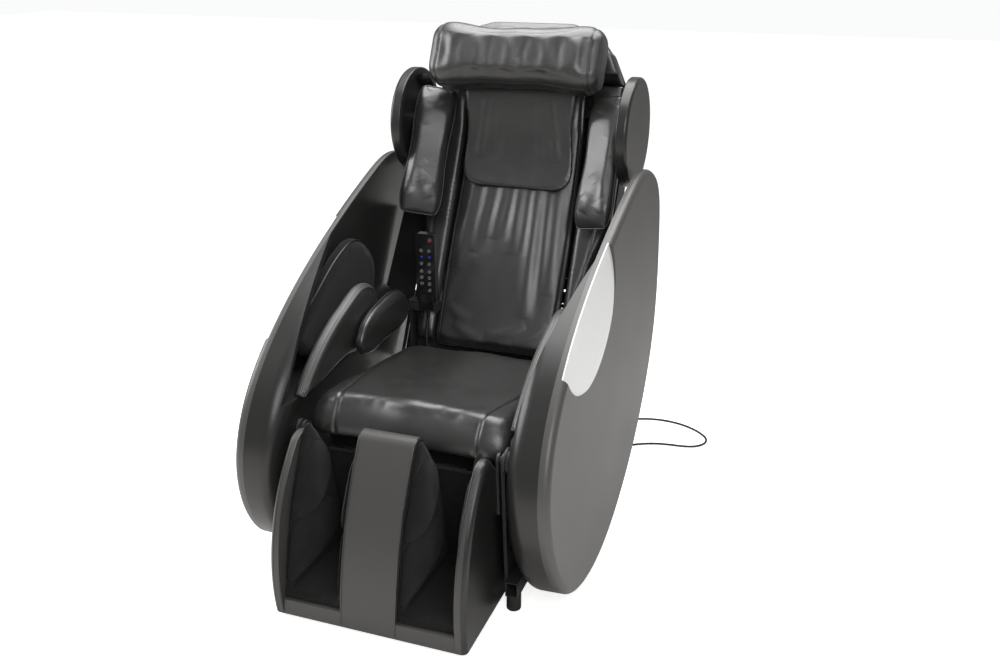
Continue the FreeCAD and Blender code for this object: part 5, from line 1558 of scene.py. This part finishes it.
@dataclass
class ArmSide:
    """The pads on one housing: arm pad with its striped band, hip pad and cloth forearm pad."""

    side: Side
    arm: Pad = field(init=False)
    hip: Pad = field(init=False)
    forearm: Pad = field(init=False)
    hip_edge: tuple[tuple[float, float], ...] = (
        (-136, 500), (-102, 540), (-8, 560), (88, 560), (148, 530), (174, 470), (116, 444), (-18, 444), (-108, 452),
    )
    forearm_edge: tuple[tuple[float, float], ...] = (
        (-290, 562), (-186, 626), (-76, 684), (18, 704), (94, 670), (148, 610), (152, 550), (86, 498),
        (-120, 477), (-256, 498),
    )
    band_line: tuple[tuple[float, float], ...] = (
        (-396, 458), (-372, 478), (-344, 502), (-300, 533), (-254, 562), (-200, 588), (-144, 606), (-96, 619),
        (-54, 622), (-10, 606), (20, 577), (34, 544), (39, 520),
    )
    band_half: float = 0.0152
    band_channels: tuple[float, ...] = (-0.62, -0.2, 0.2, 0.62)

    def __post_init__(self) -> None:
        """Name the three pads."""
        word = self.side.word
        self.arm = Pad(f"{word}_arm_cover", f"{word}_arm_pad", Body.BASE, voxel=0.005, shrink=0.002, cap=0.004)
        self.hip = Pad(f"{word}_hip_cover", f"{word}_hip_pad", Body.BASE, voxel=0.005, shrink=0.002, cap=0.004,
                       hold=facing(0, float(self.side.value)))
        self.forearm = Pad(f"{word}_forearm_cover", f"{word}_forearm_pad", Body.BASE, voxel=0.0055, shrink=0.002,
                           cap=0.004, fill=0.6)

    def pads(self) -> list[Pad]:
        """The stuffed pieces."""
        return [self.arm, self.hip, self.forearm]

    def build(self, palette: Palette) -> None:
        """Finish the pads, then their bands, piping and stitches.

        Args:
            palette: The finishes.
        """
        self.arm.finish(palette.leather, "leather")
        self.hip.finish(palette.leather, "leather")
        self.forearm.finish(palette.cloth, "cloth")
        word, seed = self.side.word, self.side.value
        slack(self.arm.piece, (26, 22, 22), 0.0022, 41 + seed)
        slack(self.hip.piece, (26, 22, 22), 0.0026, 51 + seed)
        slack(self.forearm.piece, (18, 16, 16), 0.0024, 61 + seed)
        self.band(palette)
        edge = leant([(229.9, y, z) for y, z in self.hip_edge], self.side)
        self.hip.seam(f"{word}_hip", edge, None, palette, "leather", loop=True, groove=0.0008, piping=0.0022,
                      stitches=0.006)
        edge = leant([(322.0, y, z) for y, z in self.forearm_edge], self.side)
        self.forearm.seam(f"{word}_forearm", edge, None, palette, "cloth", loop=True, groove=0.0012, piping=0.0018)

    def band(self, palette: Palette) -> None:
        """Ribbed grey band over the arm pad's crown.

        At a share a of its half width it stands 2.6 - 8.5 a^2 mm over the pad, less a sewn channel of
        1.1 mm at each of four shares, and this profile is carried along the crown.

        Args:
            palette: The finishes.
        """
        path = smooth_path(leant([(262.0, y, z) for y, z in self.band_line], self.side), SEAM_STEP)
        place, up = laid_on(skin_of(self.arm.piece), path, None)
        place, up = evened(place, False, 6), unit(evened(up, False, 10))
        across = np.linspace(-1, 1, 41)
        channels = np.exp(-(((across[:, None] - np.array(self.band_channels)) / 0.06) ** 2)).sum(1)
        crown = 0.0026 - 0.0085 * across**2 - 0.0011 * channels
        over = np.stack([across * self.band_half, crown], -1)
        under = np.stack([across[::-1] * 0.0146, crown[::-1] - 0.0028], -1)
        band = sweep(f"{self.side.word}_arm_band", place, up, np.vstack([over, under]))
        fix(band, "base", palette.band)
        along = unit(np.gradient(place, axis=0))
        beside = np.cross(up, along)
        for number, share in enumerate(self.band_channels, 1):
            row = place + beside * (share * self.band_half) + up * (0.0016 - 0.0085 * share**2)
            fix(stitch_row(f"{self.side.word}_arm_band_stitches_{number}", row, up, radius=0.0004), "base",
                palette.thread)


@dataclass
class LegRest:
    """The swinging leg rest: its seams, the cloth linings of its wells and their air pads."""

    column_half: float = 66.0
    well_out: float = 212.0
    seam_place: float = 224.5
    wall_gap: float = 10.3
    rings: int = 15
    liners: list[Pad] = field(default_factory=list)
    column_line: tuple[tuple[float, float], ...] = (
        (-614, 14), (-615, 60), (-608, 120), (-594, 170), (-573, 222), (-546, 300), (-514, 372), (-484, 414),
        (-470, 424), (-452, 424), (-434, 412),
    )
    wall_line: tuple[tuple[float, float], ...] = (
        (-614, 14), (-620, 90), (-616, 160), (-598, 236), (-566, 310), (-532, 362), (-500, 394), (-480, 404),
        (-458, 402), (-438, 389),
    )
    calf_pad: tuple[tuple[float, float], ...] = (
        (-560, 232), (-536, 300), (-500, 356), (-452, 372), (-400, 340), (-380, 270), (-420, 214), (-490, 196),
    )
    ankle_pad: tuple[tuple[float, float], ...] = (
        (-588, 84), (-584, 150), (-560, 214), (-500, 232), (-420, 214), (-366, 160), (-362, 92), (-470, 74),
    )

    def pads(self) -> list[Pad]:
        """The stuffed pieces.

        Returns:
            Every pad, not yet cut.
        """
        for side in Side:
            self.liners.append(Pad(f"{side.word}_well_lining", f"{side.word}_calf_liner", Body.LEG_REST,
                                   voxel=0.0048, shrink=0.0004, cap=0.0015, fill=0.4, smooth=3))
        return self.liners

    def edge(self, name: str, x: float, line: Sequence[tuple[float, float]], palette: Palette, outward: float,
             radius: float) -> None:
        """Pipe one front edge, pressed onto the moulding.

        Args:
            name: The piece's name.
            x: Where the edge runs.
            line: Its places (y, z) from the toe up and over the top.
            palette: The finishes.
            outward: Share of the radius that the piping's middle stands off the surface.
            radius: The piping's radius.
        """
        skin = skin_of(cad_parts["leg_rest_shell"])
        place, up = laid_on(skin, smooth_path(in_metres([(x, y, z) for y, z in line]), SEAM_STEP), None)
        place, up = evened(place, False, 4), unit(evened(up, False, 6))
        fix(sweep(name, place + up * (radius * outward), up, circle(radius, 8)), "leg_rest",
            palette.piping)

    def air_pad(self, name: str, x: float, way: float, outline: Sequence[tuple[float, float]], thick: float,
                palette: Palette) -> None:
        """A lens-shaped cloth air pad on a well's wall.

        Its rim follows a smooth outline, and it stands thick * (1 - r^2)^0.6 from the wall at a share r of the
        way from its middle to its rim, with shallow folds that run down it.

        Args:
            name: The piece's name.
            x: The wall's place.
            way: The sign of X that points into the well.
            outline: Places (y, z) of the rim.
            thick: Height at the middle.
            palette: The finishes.
        """
        rim = smooth_path([(0.0, y, z) for y, z in outline], 14.0, loop=True)[:, 1:]
        middle = rim.mean(0)
        share = np.sin(np.linspace(0.02, pi / 2, self.rings))[:, None]
        spots = middle + (rim - middle)[None] * share[..., None]
        height = thick * np.clip(1 - share**2, 0, 1) ** 0.6
        ripple = 1 + 0.05 * np.sin(spots[..., 0] / 16.0) + 0.07 * np.sin(spots[..., 1] / 19.0 + spots[..., 0] / 27.0)
        rise = height * ripple + 0.4
        front = np.stack([x + way * rise, spots[..., 0], spots[..., 1]], -1)
        back = np.stack([np.full(rise.shape, x - way * 0.6), spots[..., 0], spots[..., 1]], -1)[::-1]
        points = in_metres(np.concatenate([front, back]).reshape(-1, 3))
        piece = new_piece(name, points, tube_faces(2 * self.rings, len(rim)))
        fix(piece, "leg_rest", palette.cloth)

    def build(self, palette: Palette) -> None:
        """Line the wells, hang their air pads and pipe the moulding's edges.

        Args:
            palette: The finishes.
        """
        dress(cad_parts["leg_rest_shell"], palette.leg_rest)
        for side, liner in zip(Side, self.liners):
            s, word = side.value, side.word
            liner.finish(palette.cloth, "cloth")
            slack(liner.piece, (60, 50, 50), 0.0012, 71 + s)
            inner, outer = s * (self.column_half + self.wall_gap), s * (self.well_out - self.wall_gap)
            for place, x, way in (("inner", inner, s), ("outer", outer, -s)):
                self.air_pad(f"{word}_{place}_calf_pad", x, way, self.calf_pad, 17.0, palette)
                self.air_pad(f"{word}_{place}_ankle_pad", x, way, self.ankle_pad, 13.0, palette)
            self.edge(f"{word}_column_piping", s * self.column_half, self.column_line, palette, 0.3, 0.0016)
            self.edge(f"{word}_well_edge_piping", s * self.well_out, self.wall_line, palette, 0.3, 0.0016)
            self.edge(f"{word}_side_seam", s * self.seam_place, self.wall_line, palette, 0.15, 0.0012)


@dataclass
class Handset:
    """Printed rings and lamps on the handset, and the ribs of its grip. Millimetres."""

    middle: float = -196.5
    face: float = 190.0
    top: float = 689.0
    column: float = 11.5
    rows: tuple[float, ...] = (47.0, 84.0, 106.0, 124.0, 142.0, 160.0)
    ring_sides: int = 28
    rib_count: int = 5
    rib_drop: float = 176.0
    rib_half: float = 20.0
    rib_pitch: float = 5.0

    def ring(self, name: str, x: float, z: float, radius: float, y: float, body: str,
             material: Material) -> None:
        """A thin raised ring: a small circle carried round a circle.

        Args:
            name: The piece's name.
            x: Its middle across the handset.
            z: Its middle's height.
            radius: Of the ring.
            y: Its middle's depth.
            body: The body it rides on.
            material: Its finish.
        """
        rim = circle(radius, self.ring_sides)
        path = in_metres(spread(x + rim[:, 0], y, z + rim[:, 1]))
        up = np.tile([0.0, -1.0, 0.0], (self.ring_sides, 1))
        fix(sweep(name, path, up, circle(0.00032, 6), loop=True), body, material)

    def mark(self, name: str, x: float, z: float, reach: float, corners: int, turn: float, y: float, body: str,
             material: Material) -> None:
        """A small flat printed mark: a prism of a few corners, 0.3 mm thick.

        Args:
            name: The piece's name.
            x: Its middle across the handset.
            z: Its middle's height.
            reach: From its middle to a corner.
            corners: How many it has.
            turn: Angle of its first corner.
            y: Its middle's depth.
            body: The body it rides on.
            material: Its finish.
        """
        angle = turn + np.linspace(0, 2 * pi, corners, endpoint=False)
        depth = np.array([y - 0.15, y + 0.15])[:, None]
        points = in_metres(spread(x + reach * np.cos(angle), depth, z + reach * np.sin(angle)))
        fix(new_piece(name, points, tube_faces(2, corners)), body, material)

    def build(self, palette: Palette) -> None:
        """Print the keys, set the two lamps and rib the grip.

        Args:
            palette: The finishes.
        """
        cap = self.face - 1.45
        x, z = self.middle + self.column + 3.0, self.top - 17.0
        self.ring("power_key_ring", x, z, 4.6, cap, "handset_power_key", palette.print_red)
        self.mark("power_key_dot", x, z, 2.6, 20, 0.0, cap, "handset_power_key", palette.print_red)
        for number, down in enumerate(self.rows, 1):
            sides = (1,) if number == len(self.rows) else (-1, 1)
            for s in sides:
                word = "left" if s > 0 else "right"
                spot = self.middle + s * self.column
                body = f"handset_keys_{number}"
                self.ring(f"key_{number}_{word}_ring", spot, self.top - down, 4.1, cap, body, palette.print_white)
                turn = pi / 2 if s > 0 else -pi / 2
                self.mark(f"key_{number}_{word}_mark", spot, self.top - down, 1.8, 3, turn, cap, body,
                          palette.print_white)
        for s in (-1, 1):
            self.mark(f"lamp_{'left' if s > 0 else 'right'}", self.middle + s * self.column, self.top - 66.0, 4.6, 4,
                      pi / 4, self.face, "base", palette.print_blue)
        for number in range(self.rib_count):
            z = self.top - self.rib_drop - number * self.rib_pitch
            path = smooth_path(in_metres([(self.middle - self.rib_half, self.face, z),
                                          (self.middle, self.face, z - 1.5),
                                          (self.middle + self.rib_half, self.face, z)]), 0.004)
            up = np.tile([0.0, -1.0, 0.0], (len(path), 1))
            fix(sweep(f"handset_grip_rib_{number + 1}", path, up, circle(0.0006, 8)), "base",
                palette.gloss)


@dataclass
class Shells:
    """The rigid nodes that stay as they are, each with its finish, and the screws of the rear casing."""

    finishes: dict[str, str] = field(default_factory=lambda: {
        # The inner trims and shoulder shells take the trim paint, the panel graphite darkened with painted shade.
        "side_panel": "paint", "inner_trim": "trim", "panel_inset": "white", "shoulder_shell": "trim",
        "back_shell": "plastic", "base_frame": "steel", "back_frame": "steel", "leg_rest_frame": "steel",
        "massage_carriage": "steel", "base_feet": "rubber", "mains_plug": "rubber", "control_box": "plastic",
        "power_inlet": "plastic", "power_switch": "gloss", "handset_case": "gloss", "massage_arm": "plastic",
        "lead_screw": "bright", "recline_rod": "bright", "air_pump": "cast", "leg_motor": "plastic",
        "recline_actuator": "cast", "roller": "roller", "wheel": "wheel", "handset_power_key": "key",
        "handset_keys": "key",
    })
    screw_spots: tuple[tuple[float, float], ...] = ((205, 60), (212, 300), (222, 470), (222, 640), (150, 850))
    # Radius and height over the casing, from the socket's floor to the rim.
    screw_profile: tuple[tuple[float, float], ...] = ((1.6, 0.6), (1.6, 1.9), (3.2, 1.8), (4.0, 1.1), (4.2, -0.6))
    screw_sides: int = 16

    def build(self, palette: Palette) -> None:
        """Dress each node by the longest part of its name that the table holds.

        Args:
            palette: The finishes.
        """
        for node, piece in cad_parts.items():
            match = [word for word in self.finishes if word in node]
            if match:
                dress(piece, getattr(palette, self.finishes[max(match, key=len)]))
        self.screws(palette)

    def screws(self, palette: Palette) -> None:
        """Pan-head screws round the rear casing: a profile turned about the surface's own direction.

        Args:
            palette: The finishes.
        """
        skin = skin_of(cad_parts["back_shell"])
        spots = [(s * x, w) for s in (-1, 1) for x, w in self.screw_spots]
        radius, height = in_metres(self.screw_profile).T
        ring = circle(1.0, self.screw_sides)
        for number, (x, w) in enumerate(spots, 1):
            place, up = laid_on(skin, on_back([(x, 300, w)]), [-c for c in BACK_REAR], 0.4)
            across = unit(np.cross(up[0], [1.0, 0.0, 0.0]))
            other = np.cross(up[0], across)
            turn = across * ring[:, :1] + other * ring[:, 1:]
            rings = place[0] + up[0] * height[:, None, None] + turn[None] * radius[:, None, None]
            faces = tube_faces(len(radius), self.screw_sides)
            fix(new_piece(f"casing_screw_{number}", rings.reshape(-1, 3), faces), "back",
                palette.bright)


def main() -> None:
    """Build the chair in order: camera and cords, then pads, then trim."""
    logging.basicConfig(level=logging.INFO)
    palette = Palette()
    studio = Studio()
    studio.camera()
    Cords().build(palette)
    studio.light()
    studio.floor()
    Shells().build(palette)
    groups = [Seat(), Backrest(), ArmSide(Side.LEFT), ArmSide(Side.RIGHT), LegRest()]
    pads = [pad for group in groups for pad in group.pads()]
    for pad in pads:
        pad.cut()
    stuff(pads)
    for group in groups:
        group.build(palette)
        LOG.info("%s done", type(group).__name__)
    Handset().build(palette)


if __name__ == "__main__":
    main()
